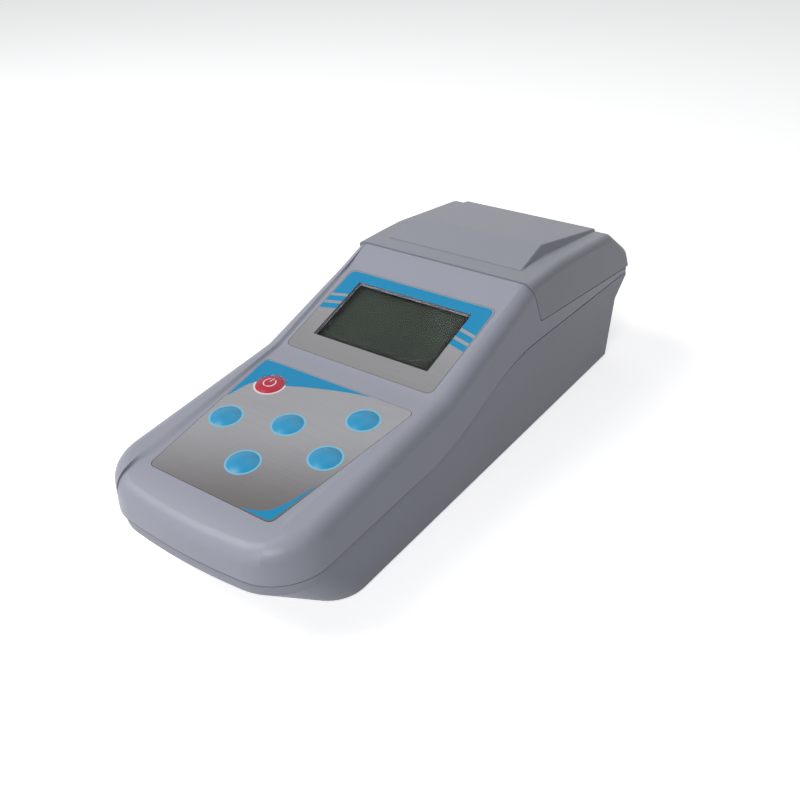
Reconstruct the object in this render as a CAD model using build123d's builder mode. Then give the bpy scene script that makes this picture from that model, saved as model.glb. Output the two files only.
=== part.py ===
from build123d import *
from math import cos, radians, sin, tan
import os

os.makedirs("parts", exist_ok=True)

# A portable turbidity meter. +Y points to the rear, +Z up, and the table is at Z = 0.

# Plan of the housing
front_y = -146.6
rear_y = 146.6
half_width = 50.0
nose_bow = 4.7
nose_radius = 23.0
rear_radius = 4.0
side_draft = 1.3
draft_start_z = 29.0
wall = 2.4

# Side profile of the top surface, given as (Y, Z) stations
display_low = (-43.2, 56.1)
display_slope = 18.8
key_slope = 6.17
toe_round = 55.0
toe_start_y = -128.0
rail_rise = 1.3
blend_radius = 22.0
seam_y = 27.6
seam_ramp = 15.0
seam_z = 82.4
edge_radius = 7.0
rail_width_rear = 8.0
rail_width_front = 13.5
rail_flare = 2.0

# Parting line between the two shells
parting_front_z = 29.0
parting_keys_z = 31.2
parting_rise_y = -62.0
parting_top_y = 34.0
parting_top_z = 51.3
parting_rear_z = 48.2
parting_gap = 0.4

# Lower shell
foot_stand = 0.8
foot_inset = 2.5
foot_front_y = -117.5
foot_radius = 17.0
rear_wall_y = 133.0
lip_height = 5.0
lip_setback = 1.2
lower_inset = 0.4
flare_low_z = 36.0
flare_high_z = 46.5
flare_top_y = 143.6

# Lid
lid_wall = 2.2
lid_gap = 0.4
lid_corner_y = 37.6
lid_corner_z = 60.8
lid_tail_z = 50.8
lid_edge_radius = 4.0
lid_corner_radius = 3.5
seam_bend_radius = 8.0
seam_drop = 1.0
flange_z = 82.8
flange_bend_radius = 60.0
flange_start_y = 46.0
flange_end_y = 61.0
lid_back_y = 115.0
lid_back_z = 78.0
lid_back_radius = 9.0
lid_slope_y = 139.4
lid_slope_z = 62.0
lid_slope_radius = 14.0
lid_rear_y = 146.0
lid_start_y = 5.0
plateau_crest_y = 60.6
plateau_crest_z = 87.4
plateau_back_z = 79.0
plateau_start_y = 38.0
plateau_start_z = 83.0
plateau_top_border = 15.0
plateau_base_border = 11.0
plateau_edge_radius = 0.8

# Lid hinge, along the lid's lower rear edge
pivot_y = 143.0
pivot_z = 49.8
pin_radius = 1.2
pin_chamfer = 0.2
pin_clearance = 0.05
knuckle_radius = 2.5
knuckle_width = 9.0
knuckle_gap = 0.4
arm_rise = 0.8
knuckle_x = 33.0
sweep_radius = 3.7
notch_rise = 4.0

# Sample well, for a round vial 25 mm in diameter
vial_radius = 12.5
vial_clearance = 0.3
well_y = 77.0
well_floor_z = 10.0
deck_z = 62.0
deck_border = 6.0
deck_rear_y = 118.0
holder_half = 20.0
holder_base_z = 7.0
collar_rise = 3.0
collar_wall = 4.0
collar_flange = 3.5
collar_depth = 4.0
collar_chamfer = 0.8
seal_thickness = 0.8
port_z = 32.0
port_radius = 2.6

# Optics beside the well
lamp_radius = 2.5
lamp_flange = 0.5
lamp_flange_thickness = 1.0
lamp_length = 4.6
lens_thickness = 1.5
lamp_tip_radius = 1.25
sensor_board = 14.0

# Display
lcd_side_border = 19.0
lcd_length = 37.4
lcd_top_y = 4.8
label_margin = 2.0
label_taper = 0.8
label_over = 6.6
label_under = 10.6
label_thickness = 0.5
label_corner = 3.0
window_lip = 2.0
window_thickness = 1.2
fit_gap = 0.2

lcd_thickness = 3.2
lcd_border = 2.0
bezel_width = 4.0
lcd_board_margin = 3.0
lcd_boss_t = 20.0

# Keypad
keypad_top_y = -53.1
keypad_length = 77.6
keypad_margin_top = 2.1
keypad_margin_low = 5.3
key_radius = 6.4
key_gap = 0.3
key_dome = 1.3
key_travel = 0.5
key_flange = 1.3
key_flange_thickness = 0.8
outer_key_border = 15.0
outer_key_t = 14.5
side_key_border = 13.8
side_key_t = 40.3
upper_key_t = 31.7
lower_key_t = 58.2
switch_size = 6.0
switch_height = 3.4
switch_well = 1.9
stem_radius = 1.65
stem_clearance = 0.3
stem_reach = 1.0
board_thickness = 1.6
key_board_depth = 8.0
key_board_border = 6.9
key_board_start = 4.0
key_board_length = 68.0
taper_in = 6.0
board_boss_radius = 2.6
board_screw_radius = 1.0
board_screw_head = 1.9
board_screw_head_height = 1.2
board_screw_length = 3.6
upper_board_screw = (9.0, -10.0)
lower_board_screw = (20.0, -66.0)

# Battery bay, for four cells side by side
cell_radius = 7.15
cell_length = 50.0
cell_pitch = 15.0
cell_count = 4
bay_front_y = -94.0
bay_wall = 1.6
contact_space = 3.2
door_thickness = 2.0
door_gap = 0.3
door_pin_radius = 0.6
door_pin_length = 1.2
door_overlap = 1.6
finger_notch = 16.0
nub_radius = 2.75
nub_length = 1.5
spring_radius = 3.2
plate_thickness = 0.4
contact_wall = 0.6
contact_margin = 1.0

# Main board on posts between the battery bay and the well
main_board_y = 10.0
main_board_half = 38.0
main_board_length = 78.0
main_board_z = 24.0
post_radius = 3.2
post_inset = 5.0

# Feet
pad_radius = 5.0
pad_recess = 1.0
pad_chamfer = 0.3
front_pad_border = 7.5
front_pad_y = -78.0
rear_pad_border = 9.5
rear_pad_y = 121.0

# Case screws
screw_radius = 1.5
screw_clearance = 0.2
screw_grip = 7.0
screw_head_radius = 2.8
screw_head_height = 2.2
boss_radius = 4.2
boss_cap = 3.0
front_screw_border = 11.5
front_screw_y = -100.0
front_screw_z = 27.0
rear_screw_border = 9.0
rear_screw_y = 104.0
rear_screw_z = 40.0
boss_rise = 13.5

# Values that follow from the sizes above
rail_half_rear = half_width - rail_width_rear
rail_half_front = half_width - rail_width_front
label_half_top = rail_half_rear - label_margin
label_half_low = label_half_top - label_taper
keypad_half_top = rail_half_rear - keypad_margin_top
keypad_half_low = rail_half_front - keypad_margin_low
deck_half = half_width - deck_border
lcd_half = half_width - lcd_side_border
lcd_boss_x = lcd_half + window_lip + bezel_width + 2 * fit_gap + board_boss_radius
outer_key_x = keypad_half_top - outer_key_border
side_key_x = keypad_half_top - side_key_border
key_board_half = side_key_x + key_board_border
foot_half = half_width - foot_inset
lower_half = half_width - lower_inset
plateau_top_half = half_width - plateau_top_border
plateau_base_half = half_width - plateau_base_border
front_pad = (foot_half - front_pad_border, front_pad_y)
rear_pad = (foot_half - rear_pad_border, rear_pad_y)
front_screw = (half_width - front_screw_border, front_screw_y, front_screw_z)
rear_screw = (half_width - rear_screw_border, rear_screw_y, rear_screw_z)
lid_bends = [
    (flange_start_y, flange_bend_radius),
    (flange_end_y, flange_bend_radius),
    (lid_back_y, lid_back_radius),
    (lid_slope_y, lid_slope_radius),
]
pin_bore = pin_radius + pin_clearance
lid_knuckle_x = knuckle_x - knuckle_width - knuckle_gap
pin_length = 2 * knuckle_x + knuckle_width
arm_low_z = parting_rear_z + parting_gap
arm_top_z = pivot_z + arm_rise
well_radius = vial_radius + vial_clearance
reach = rear_y - front_y
key_tilt = radians(key_slope)
display_tilt = radians(display_slope)
lip_z = parting_front_z - lip_height


def display_z(y):
    """Height of the display face at a station."""
    return display_low[1] + (y - display_low[0]) * tan(display_tilt)


def keypad_z(y):
    """Height of the keypad face at a station."""
    return display_low[1] + (y - display_low[0]) * tan(key_tilt)


def half_at(z):
    """Half width of the drafted side wall at a height."""
    return half_width - (z - draft_start_z) * tan(radians(side_draft))


def half_low_at(z):
    """Half width of the lower shell's side at a height."""
    return foot_half + (lower_half - foot_half) * (z - foot_stand) / (parting_rear_z - foot_stand)


def plan_outline(half, front, rear, front_radius, back_radius, bow):
    """Rounded plan with a bowed nose."""
    with BuildSketch() as plan:
        with BuildLine():
            nose = ThreePointArc((-half, front + bow), (0, front), (half, front + bow))
            Polyline(nose @ 1, (half, rear), (-half, rear), nose @ 0)
        make_face()
        fillet(plan.vertices().group_by(Axis.Y)[-1], back_radius)
        fillet(plan.vertices().sort_by(Axis.Y)[:2], front_radius)
    return plan.sketch


housing_plan = plan_outline(half_width, front_y, rear_y, nose_radius, rear_radius, nose_bow)


def upper_form(rise, inset):
    """Solid below the top surface, raised by rise and shrunk by inset."""
    toe_z = keypad_z(toe_start_y)
    nose_drop = (toe_start_y - front_y) ** 2 / (2 * toe_round)
    nose_z = keypad_z(front_y) - nose_drop
    with BuildPart() as form:
        with BuildSketch(Plane.YZ) as side:
            with BuildLine():
                toe = TangentArc(
                    (toe_start_y, toe_z + rise),
                    (front_y, nose_z + rise),
                    tangent=(-cos(key_tilt), -sin(key_tilt)),
                )
                Polyline(
                    toe @ 0,
                    (display_low[0], display_low[1] + rise),
                    (seam_y - seam_ramp, display_z(seam_y - seam_ramp) + rise),
                    (seam_y, seam_z),
                    (rear_y, seam_z),
                    (rear_y, lip_z),
                    (front_y, lip_z),
                    toe @ 1,
                )
            make_face()
            bend_stations = (display_low[0], seam_y - seam_ramp, seam_y)
            bends = [v for v in side.vertices() if min(abs(v.X - y) for y in bend_stations) < 0.01]
            fillet(bends, blend_radius)
            if inset:
                offset(amount=-inset)
        extrude(amount=half_width, both=True)
        with BuildSketch(Plane.XY.offset(draft_start_z)):
            add(housing_plan)
            if inset:
                offset(amount=-inset)
        extrude(amount=seam_z, taper=side_draft, mode=Mode.INTERSECT)
    return form.part


def side_prism(points, bends, grow=0.0):
    """Prism across the whole width from a closed side outline."""
    with BuildPart() as prism:
        with BuildSketch(Plane.YZ) as side:
            with BuildLine():
                Polyline(*points, close=True)
            make_face()
            for (y, z), radius in bends:
                corner = [v for v in side.vertices() if abs(v.X - y) + abs(v.Y - z) < 0.01]
                fillet(corner, radius)
            if grow:
                offset(amount=grow)
        extrude(amount=reach, both=True)
    return prism.part


def lid_zone(grow):
    """Everything above and behind the seam between the lid and the upper shell."""
    slope_z = seam_z - seam_drop
    outline = [
        (seam_y, 2 * seam_z),
        (seam_y, slope_z),
        (lid_corner_y, lid_corner_z),
        (rear_y + wall, lid_tail_z),
        (2 * rear_y, lid_tail_z),
        (2 * rear_y, 2 * seam_z),
    ]
    bends = [((seam_y, slope_z), seam_bend_radius), ((lid_corner_y, lid_corner_z), lid_corner_radius)]
    return side_prism(outline, bends, grow)


def below_parting(lift):
    """Everything below the parting line, which climbs from the toe to the rear."""
    with BuildPart() as region:
        with BuildSketch(Plane.YZ):
            with BuildLine():
                toe_end = (front_y - wall, parting_front_z + lift)
                keys = Line(toe_end, (parting_rise_y, parting_keys_z + lift))
                rear_end = (rear_y + wall, parting_rear_z + lift)
                rear = Line((parting_top_y, parting_top_z + lift), rear_end)
                Spline(keys @ 1, rear @ 0, tangents=(keys % 1, rear % 0))
                Polyline(rear @ 1, (rear_y + wall, -wall), (front_y - wall, -wall), keys @ 0)
            make_face()
        extrude(amount=reach, both=True)
    return region.part


def hinge_sweep(radius):
    """Space that the lid's lower rear edge turns through."""
    with BuildPart() as sweep:
        with BuildSketch(Plane.YZ):
            with Locations((pivot_y, pivot_z)):
                Circle(radius)
                Rectangle(reach, reach, align=(Align.MIN, Align.MIN))
            with Locations((pivot_y, pivot_z - radius)):
                Rectangle(reach, reach, align=(Align.MIN, Align.MIN))
        extrude(amount=reach, both=True)
    return sweep.part


def round_edges(solid, radius):
    """Round the side and nose edges of a top surface."""
    with BuildPart() as rounded:
        add(solid)
        raised = [e for e in rounded.edges() if e.center().Z > draft_start_z + wall]
        ahead = [e for e in raised if e.center().Y < rear_y - 2 * rear_radius]
        along_rim = [e for e in ahead if abs((e % 0.5).Z) < 0.9]
        outer = [e for e in along_rim if abs(e.center().X) > wall or e.center().Y < front_y + nose_bow]
        fillet(outer, radius)
    return rounded.part


# Raised side rails beside the display and the keypad
rail_solid = round_edges(upper_form(rail_rise, 0), edge_radius)
with BuildPart() as rails:
    add(rail_solid)
    with BuildSketch(Plane.XY):
        Polygon(
            (-rail_half_front, front_y - wall),
            (rail_half_front, front_y - wall),
            (rail_half_rear, display_low[0]),
            (rail_half_rear + rail_flare, seam_y),
            (rail_half_rear + rail_flare, rear_y),
            (-rail_half_rear - rail_flare, rear_y),
            (-rail_half_rear - rail_flare, seam_y),
            (-rail_half_rear, display_low[0]),
            align=None,
        )
    extrude(amount=2 * seam_z, mode=Mode.SUBTRACT)

display_normal = Vector(0, -sin(display_tilt), cos(display_tilt))
key_normal = Vector(0, -sin(key_tilt), cos(key_tilt))
lcd_y = lcd_top_y - lcd_length / 2 * cos(display_tilt)


def display_plane(depth):
    """Plane parallel to the display face, centred on the window, at a depth below the face."""
    centre = Vector(0, lcd_y, display_z(lcd_y)) - display_normal * depth
    return Plane(origin=centre, x_dir=(1, 0, 0), z_dir=display_normal)


def key_plane(x, along, depth):
    """Plane parallel to the keypad face, at a distance along the keypad from its top edge."""
    top = Vector(x, keypad_top_y, keypad_z(keypad_top_y))
    centre = top - Vector(0, cos(key_tilt), sin(key_tilt)) * along - key_normal * depth
    return Plane(origin=centre, x_dir=(1, 0, 0), z_dir=key_normal)


def display_outline(shrink):
    """Outline of the display label, centred on the window."""
    top = lcd_length / 2 + label_over - shrink
    low = -lcd_length / 2 - label_under + shrink
    with BuildSketch() as outline:
        Polygon(
            (-label_half_low + shrink, low),
            (label_half_low - shrink, low),
            (label_half_top - shrink, top),
            (-label_half_top + shrink, top),
            align=None,
        )
        fillet(outline.vertices(), label_corner)
    return outline.sketch


def keypad_outline(shrink):
    """Outline of the keypad label, with its top edge at the origin."""
    with BuildSketch() as outline:
        Polygon(
            (-keypad_half_low + shrink, -keypad_length + shrink),
            (keypad_half_low - shrink, -keypad_length + shrink),
            (keypad_half_top - shrink, -shrink),
            (-keypad_half_top + shrink, -shrink),
            align=None,
        )
        fillet(outline.vertices(), label_corner)
    return outline.sketch


def mirrored(x, y):
    """The two places either side of the middle."""
    return [(-x, y), (x, y)]


keys = {
    "power_key": (-outer_key_x, outer_key_t),
    "key_right_upper": (outer_key_x, outer_key_t),
    "key_left_lower": (-side_key_x, side_key_t),
    "key_right_lower": (side_key_x, side_key_t),
    "key_centre_upper": (0, upper_key_t),
    "key_centre_lower": (0, lower_key_t),
}
key_spots = [(x, -along) for x, along in keys.values()]
display_recess = display_outline(-fit_gap)
keypad_recess = keypad_outline(-fit_gap)
collar_radius = well_radius + collar_wall
board_spots = mirrored(*upper_board_screw) + mirrored(*lower_board_screw)
lcd_spots = [(x, t) for x in (-lcd_boss_x, lcd_boss_x) for t in (-lcd_boss_t, lcd_boss_t)]
lcd_board_depth = wall + lcd_thickness
main_spots = [
    (side * (main_board_half - post_inset), main_board_y + end * (main_board_length / 2 - post_inset))
    for side in (-1, 1)
    for end in (-1, 1)
]


# Inner space of the upper shell
with BuildPart() as upper_space:
    add(upper_form(0, wall))
    add(lid_zone(lid_gap + wall), mode=Mode.SUBTRACT)
    with BuildSketch(Plane.XY.offset(deck_z - wall)):
        with Locations((0, (lid_corner_y - wall + deck_rear_y - wall) / 2)):
            Rectangle(2 * (deck_half - wall), deck_rear_y - lid_corner_y)
    extrude(amount=-deck_z / 2)

centre_solid = round_edges(upper_form(0, 0), edge_radius)
lid_cut = lid_zone(lid_gap)
parting_cut = below_parting(parting_gap)
turning_cut = hinge_sweep(sweep_radius)


# Upper shell
with BuildPart() as upper_shell:
    add(centre_solid)
    add(rails.part)
    add(lid_cut, mode=Mode.SUBTRACT)
    with BuildSketch(Plane.XY.offset(deck_z)):
        with Locations((0, (lid_corner_y + deck_rear_y) / 2)):
            RectangleRounded(2 * deck_half, deck_rear_y - lid_corner_y, label_corner)
    extrude(amount=-deck_z / 2)
    add(upper_space.part, mode=Mode.SUBTRACT)
    # Bosses for the case screws, the display board and the key board
    with BuildSketch(Plane.XY.offset(front_screw[2])):
        with Locations(mirrored(front_screw[0], front_screw[1])):
            Circle(boss_radius)
    extrude(amount=keypad_z(front_screw[1]) - wall / 2 - front_screw[2])
    with BuildSketch(Plane.XY.offset(rear_screw[2])):
        with Locations(mirrored(rear_screw[0], rear_screw[1])):
            Circle(boss_radius)
    extrude(amount=boss_rise)
    with BuildSketch(display_plane(lcd_board_depth)):
        with Locations(lcd_spots):
            Circle(board_boss_radius)
    extrude(amount=lcd_board_depth - wall / 2)
    with BuildSketch(key_plane(0, 0, key_board_depth)):
        with Locations(board_spots):
            Circle(board_boss_radius)
    extrude(amount=key_board_depth - wall / 2)
    add(parting_cut, mode=Mode.SUBTRACT)
    add(turning_cut, mode=Mode.SUBTRACT)
    # The bosses reach below the parting line to meet those of the lower shell
    with BuildSketch(Plane.XY.offset(front_screw[2])):
        with Locations(mirrored(front_screw[0], front_screw[1])):
            Circle(boss_radius)
    extrude(amount=parting_keys_z - front_screw[2] + wall)
    with BuildSketch(Plane.XY.offset(rear_screw[2])):
        with Locations(mirrored(rear_screw[0], rear_screw[1])):
            Circle(boss_radius)
    extrude(amount=parting_top_z - rear_screw[2])
    # Knuckles of the lid hinge, each on an arm from the rear edge
    for x in (-knuckle_x, 0, knuckle_x):
        with BuildSketch(Plane.YZ.offset(x - knuckle_width / 2)):
            with Locations((pivot_y, pivot_z)):
                Circle(knuckle_radius)
            Polygon(
                (pivot_y - sweep_radius - wall, arm_low_z),
                (pivot_y, arm_low_z),
                (pivot_y, arm_top_z),
                (pivot_y - sweep_radius - wall, arm_top_z),
                align=None,
            )
        extrude(amount=knuckle_width)
    with BuildSketch(Plane.YZ.offset(-half_width)):
        with Locations((pivot_y, pivot_z)):
            Circle(pin_bore)
    extrude(amount=2 * half_width, mode=Mode.SUBTRACT)
    # Recesses for the labels, the window and the keys
    with BuildSketch(display_plane(0)):
        add(display_recess)
    extrude(amount=-label_thickness, mode=Mode.SUBTRACT)
    with BuildSketch(display_plane(0)):
        Rectangle(2 * (lcd_half + window_lip + fit_gap), lcd_length + 2 * (window_lip + fit_gap))
    extrude(amount=-label_thickness - window_thickness, mode=Mode.SUBTRACT)
    with BuildSketch(display_plane(0)):
        Rectangle(2 * lcd_half, lcd_length)
    extrude(amount=-2 * wall, mode=Mode.SUBTRACT)
    with BuildSketch(key_plane(0, 0, 0)):
        add(keypad_recess)
    extrude(amount=-label_thickness, mode=Mode.SUBTRACT)
    with BuildSketch(key_plane(0, 0, 0)):
        with Locations(key_spots):
            Circle(key_radius + key_gap)
    extrude(amount=-2 * wall, mode=Mode.SUBTRACT)
    # Hole for the collar of the well, and blind holes for the screws
    with BuildSketch(Plane.XY.offset(deck_z)):
        with Locations((0, well_y)):
            Circle(collar_radius + fit_gap)
    extrude(amount=-2 * wall, mode=Mode.SUBTRACT)
    with BuildSketch(Plane.XY.offset(front_screw[2])):
        with Locations(mirrored(front_screw[0], front_screw[1])):
            Circle(screw_radius)
    extrude(amount=screw_grip + fit_gap, mode=Mode.SUBTRACT)
    with BuildSketch(Plane.XY.offset(rear_screw[2])):
        with Locations(mirrored(rear_screw[0], rear_screw[1])):
            Circle(screw_radius)
    extrude(amount=screw_grip + fit_gap, mode=Mode.SUBTRACT)
    with BuildSketch(display_plane(lcd_board_depth)):
        with Locations(lcd_spots):
            Circle(board_screw_radius)
    extrude(amount=board_screw_length - board_thickness, mode=Mode.SUBTRACT)
    with BuildSketch(key_plane(0, 0, key_board_depth)):
        with Locations(board_spots):
            Circle(board_screw_radius)
    extrude(amount=board_screw_length - board_thickness, mode=Mode.SUBTRACT)
upper_shell.part.label = "upper_shell"
export_step(upper_shell.part, "parts/upper_shell.step")


def lower_form(inset):
    """Solid of the lower shell up to above the parting line, shrunk by inset."""
    toe_front_y = front_y + lip_setback
    levels = [
        (foot_stand + inset, foot_front_y, rear_wall_y, foot_radius, nose_bow / 2),
        (lip_z, toe_front_y, rear_wall_y, nose_radius, nose_bow),
        (flare_low_z, toe_front_y, rear_wall_y, nose_radius, nose_bow),
        (flare_high_z, toe_front_y, flare_top_y, nose_radius, nose_bow),
        (deck_z, toe_front_y, flare_top_y, nose_radius, nose_bow),
    ]
    plans = [
        (z, plan_outline(half_low_at(z) - inset, front + inset, rear - inset, radius, rear_radius, bow))
        for z, front, rear, radius, bow in levels
    ]
    with BuildPart() as form:
        for z, plan in plans:
            with BuildSketch(Plane.XY.offset(z)):
                add(plan)
        loft(ruled=True)
    return form.part


# Lower shell
bay_length = cell_length + 2 * contact_space
bay_half = cell_pitch * cell_count / 2
bay_centre_y = bay_front_y + bay_length / 2
bay_top_z = foot_stand + door_thickness + 2 * cell_radius + 3 * door_gap
cell_z = foot_stand + door_thickness + cell_radius + door_gap
door_half = bay_half - door_gap
door_rear_y = bay_front_y + bay_length + door_overlap
door_front_y = bay_front_y - door_overlap
door_pivot_z = foot_stand + door_thickness / 2
lower_solid = lower_form(0)
lower_space = lower_form(wall)
parting_region = below_parting(0)
with BuildPart() as above_region:
    Box(4 * half_width, 2 * reach, 4 * seam_z)
    add(parting_region, mode=Mode.SUBTRACT)
above_parting = above_region.part
pad_spots = mirrored(*front_pad) + mirrored(*rear_pad)
with BuildPart() as lower_shell:
    add(lower_solid)
    add(lower_space, mode=Mode.SUBTRACT)
    # Battery bay
    with BuildSketch(Plane.XY.offset(foot_stand)):
        with Locations((0, bay_centre_y)):
            Rectangle(2 * (bay_half + bay_wall), bay_length + 2 * (bay_wall + door_overlap))
    extrude(amount=bay_top_z + bay_wall - foot_stand)
    with BuildSketch(Plane.XY.offset(foot_stand)):
        with Locations((0, bay_centre_y)):
            Rectangle(2 * bay_half, bay_length)
    extrude(amount=bay_top_z - foot_stand, mode=Mode.SUBTRACT)
    with BuildSketch(Plane.XY.offset(foot_stand)):
        with Locations((0, bay_centre_y)):
            Rectangle(2 * bay_half, bay_length + 2 * (door_overlap + door_gap))
    extrude(amount=door_thickness + door_gap, mode=Mode.SUBTRACT)
    with BuildSketch(Plane.YZ):
        with Locations((door_rear_y - door_thickness / 2, door_pivot_z)):
            Circle(door_pin_radius + pin_clearance)
    extrude(amount=bay_half + door_pin_length + fit_gap - door_gap, both=True, mode=Mode.SUBTRACT)
    # Posts for the cell holder and the main board
    with BuildSketch(Plane.XY.offset(foot_stand + wall / 2)):
        with Locations((0, well_y)):
            with GridLocations(2 * (holder_half - post_inset), 2 * (holder_half - post_inset), 2, 2):
                Circle(post_radius)
    extrude(amount=holder_base_z - foot_stand - wall / 2)
    with BuildSketch(Plane.XY.offset(foot_stand + wall / 2)):
        with Locations(main_spots):
            Circle(post_radius)
    extrude(amount=main_board_z - foot_stand - wall / 2)
    with BuildSketch(Plane.XY.offset(main_board_z)):
        with Locations(main_spots):
            Circle(board_screw_radius)
    extrude(amount=-board_screw_length + board_thickness, mode=Mode.SUBTRACT)
    # Bosses of the case screws, open from below
    with BuildSketch(Plane.XY.offset(foot_stand + wall / 2)):
        with Locations(mirrored(front_screw[0], front_screw[1])):
            Circle(boss_radius)
    extrude(amount=front_screw[2] - foot_stand - wall / 2)
    with BuildSketch(Plane.XY.offset(foot_stand + wall / 2)):
        with Locations(mirrored(rear_screw[0], rear_screw[1])):
            Circle(boss_radius)
    extrude(amount=rear_screw[2] - foot_stand - wall / 2)
    add(above_parting, mode=Mode.SUBTRACT)
    add(turning_cut, mode=Mode.SUBTRACT)
    for place in (front_screw, rear_screw):
        with Locations(*[(x, y, foot_stand) for x, y in mirrored(place[0], place[1])]):
            Cylinder(
                screw_head_radius + fit_gap,
                place[2] - boss_cap - foot_stand,
                align=(Align.CENTER, Align.CENTER, Align.MIN),
                mode=Mode.SUBTRACT,
            )
            Cylinder(
                screw_radius + screw_clearance,
                place[2] - foot_stand,
                align=(Align.CENTER, Align.CENTER, Align.MIN),
                mode=Mode.SUBTRACT,
            )
    # Recesses of the feet
    with BuildSketch(Plane.XY.offset(foot_stand)):
        with Locations(pad_spots):
            Circle(pad_radius + fit_gap)
    extrude(amount=pad_recess, mode=Mode.SUBTRACT)
lower_shell.part.label = "lower_shell"
export_step(lower_shell.part, "parts/lower_shell.step")


def lid_form(inset):
    """Solid below the top of the lid, shrunk by inset."""
    front_drop = (seam_y - lid_start_y) * (flange_z - seam_z) / (flange_start_y - seam_y)
    slope = (lid_rear_y - lid_slope_y) / (lid_slope_z - lid_tail_z)
    slope_end_y = lid_slope_y + (lid_slope_z - lip_z) * slope
    with BuildPart() as form:
        with BuildSketch(Plane.YZ) as side:
            with BuildLine():
                Polyline(
                    (lid_start_y, lip_z),
                    (lid_start_y, seam_z - front_drop),
                    (flange_start_y, flange_z),
                    (flange_end_y, flange_z),
                    (lid_back_y, lid_back_z),
                    (lid_slope_y, lid_slope_z),
                    (slope_end_y, lip_z),
                    close=True,
                )
            make_face()
            for station, radius in lid_bends:
                bends = [v for v in side.vertices() if abs(v.X - station) < 0.01]
                fillet([v for v in bends if v.Y > lid_tail_z + 1], radius)
            if inset:
                offset(amount=-inset)
        extrude(amount=half_width, both=True)
        with BuildSketch(Plane.XY.offset(draft_start_z)):
            Rectangle(2 * (half_width - inset), 2 * reach)
        extrude(amount=seam_z, taper=side_draft, mode=Mode.INTERSECT)
        if not inset:
            raised = [e for e in form.edges() if e.center().Z > draft_start_z + wall]
            raised = [e for e in raised if e.center().Y > lid_start_y + wall]
            fillet([e for e in raised if abs(e.center().X) > deck_half], lid_edge_radius)
    return form.part


def plateau_form(inset):
    """Raised flat of the lid, shrunk by inset."""
    top_half = plateau_top_half - inset
    base_half = plateau_base_half - inset
    with BuildPart() as form:
        with BuildSketch(Plane.YZ):
            Polygon(
                (plateau_start_y, plateau_start_z - inset),
                (plateau_crest_y, plateau_crest_z - inset),
                (lid_back_y - inset, plateau_back_z - inset),
                (lid_back_y - inset, deck_z),
                (plateau_start_y, deck_z),
                align=None,
            )
        extrude(amount=half_width, both=True)
        with BuildSketch(Plane.XZ):
            Polygon(
                (-base_half, deck_z),
                (base_half, deck_z),
                (base_half, lid_back_z - inset),
                (top_half, plateau_crest_z - inset),
                (-top_half, plateau_crest_z - inset),
                (-base_half, lid_back_z - inset),
                align=None,
            )
        extrude(amount=reach, both=True, mode=Mode.INTERSECT)
        if not inset:
            raised = [e for e in form.edges() if e.center().Z > lid_back_z]
            between = [e for e in raised if plateau_start_y + wall < e.center().Y < lid_back_y - wall]
            fillet(between, plateau_edge_radius)
    return form.part


# Lid with its skirt
lid_outer = lid_form(0)
lid_inner = lid_form(lid_wall)
plateau_outer = plateau_form(0)
plateau_inner = plateau_form(lid_wall)
lid_limit = lid_zone(0)
with BuildPart() as lid:
    add(lid_outer)
    add(plateau_outer)
    add(lid_limit, mode=Mode.INTERSECT)
    add(lid_inner, mode=Mode.SUBTRACT)
    add(plateau_inner, mode=Mode.SUBTRACT)
    # Room for the shell's knuckles, then the lid's own
    for x in (-knuckle_x, 0, knuckle_x):
        with BuildSketch(Plane.YZ.offset(x - knuckle_width / 2 - knuckle_gap)):
            with Locations((pivot_y, pivot_z)):
                Rectangle(2 * sweep_radius, 2 * notch_rise)
        extrude(amount=knuckle_width + 2 * knuckle_gap, mode=Mode.SUBTRACT)
    for x in (-lid_knuckle_x, lid_knuckle_x):
        with BuildSketch(Plane.YZ.offset(x - knuckle_width / 2)):
            with Locations((pivot_y, pivot_z)):
                Circle(knuckle_radius)
            Polygon(
                (pivot_y - knuckle_radius, pivot_z),
                (pivot_y + knuckle_radius, pivot_z),
                (pivot_y + knuckle_radius, pivot_z + notch_rise),
                (pivot_y, pivot_z + notch_rise),
                align=None,
            )
        extrude(amount=knuckle_width)
    with BuildSketch(Plane.YZ.offset(-half_width)):
        with Locations((pivot_y, pivot_z)):
            Circle(pin_bore)
    extrude(amount=2 * half_width, mode=Mode.SUBTRACT)
lid.part.label = "lid"
export_step(lid.part, "parts/lid.step")

# Hinge pin
with BuildPart() as lid_hinge_pin:
    with BuildSketch(Plane.YZ):
        with Locations((pivot_y, pivot_z)):
            Circle(pin_radius)
    extrude(amount=pin_length / 2, both=True)
    chamfer(lid_hinge_pin.edges(), pin_chamfer)
lid_hinge_pin.part.label = "lid_hinge_pin"
export_step(lid_hinge_pin.part, "parts/lid_hinge_pin.step")

# Cell holder, a block with the lower part of the well and three ports
holder_top_z = deck_z - collar_depth
with BuildPart() as cell_holder:
    with BuildSketch(Plane.XY.offset(holder_base_z)):
        with Locations((0, well_y)):
            RectangleRounded(2 * holder_half, 2 * holder_half, label_corner)
    extrude(amount=holder_top_z - holder_base_z)
    with BuildSketch(Plane.XY.offset(well_floor_z)):
        with Locations((0, well_y)):
            Circle(well_radius)
    extrude(amount=holder_top_z, mode=Mode.SUBTRACT)
    with BuildSketch(Plane.XZ.offset(-well_y)):
        with Locations((0, port_z)):
            Circle(port_radius)
    extrude(amount=holder_half + wall, both=True, mode=Mode.SUBTRACT)
    with BuildSketch(Plane.YZ):
        with Locations((well_y, port_z)):
            Circle(port_radius)
    extrude(amount=holder_half + wall, mode=Mode.SUBTRACT)
cell_holder.part.label = "cell_holder"
export_step(cell_holder.part, "parts/cell_holder.step")

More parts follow.
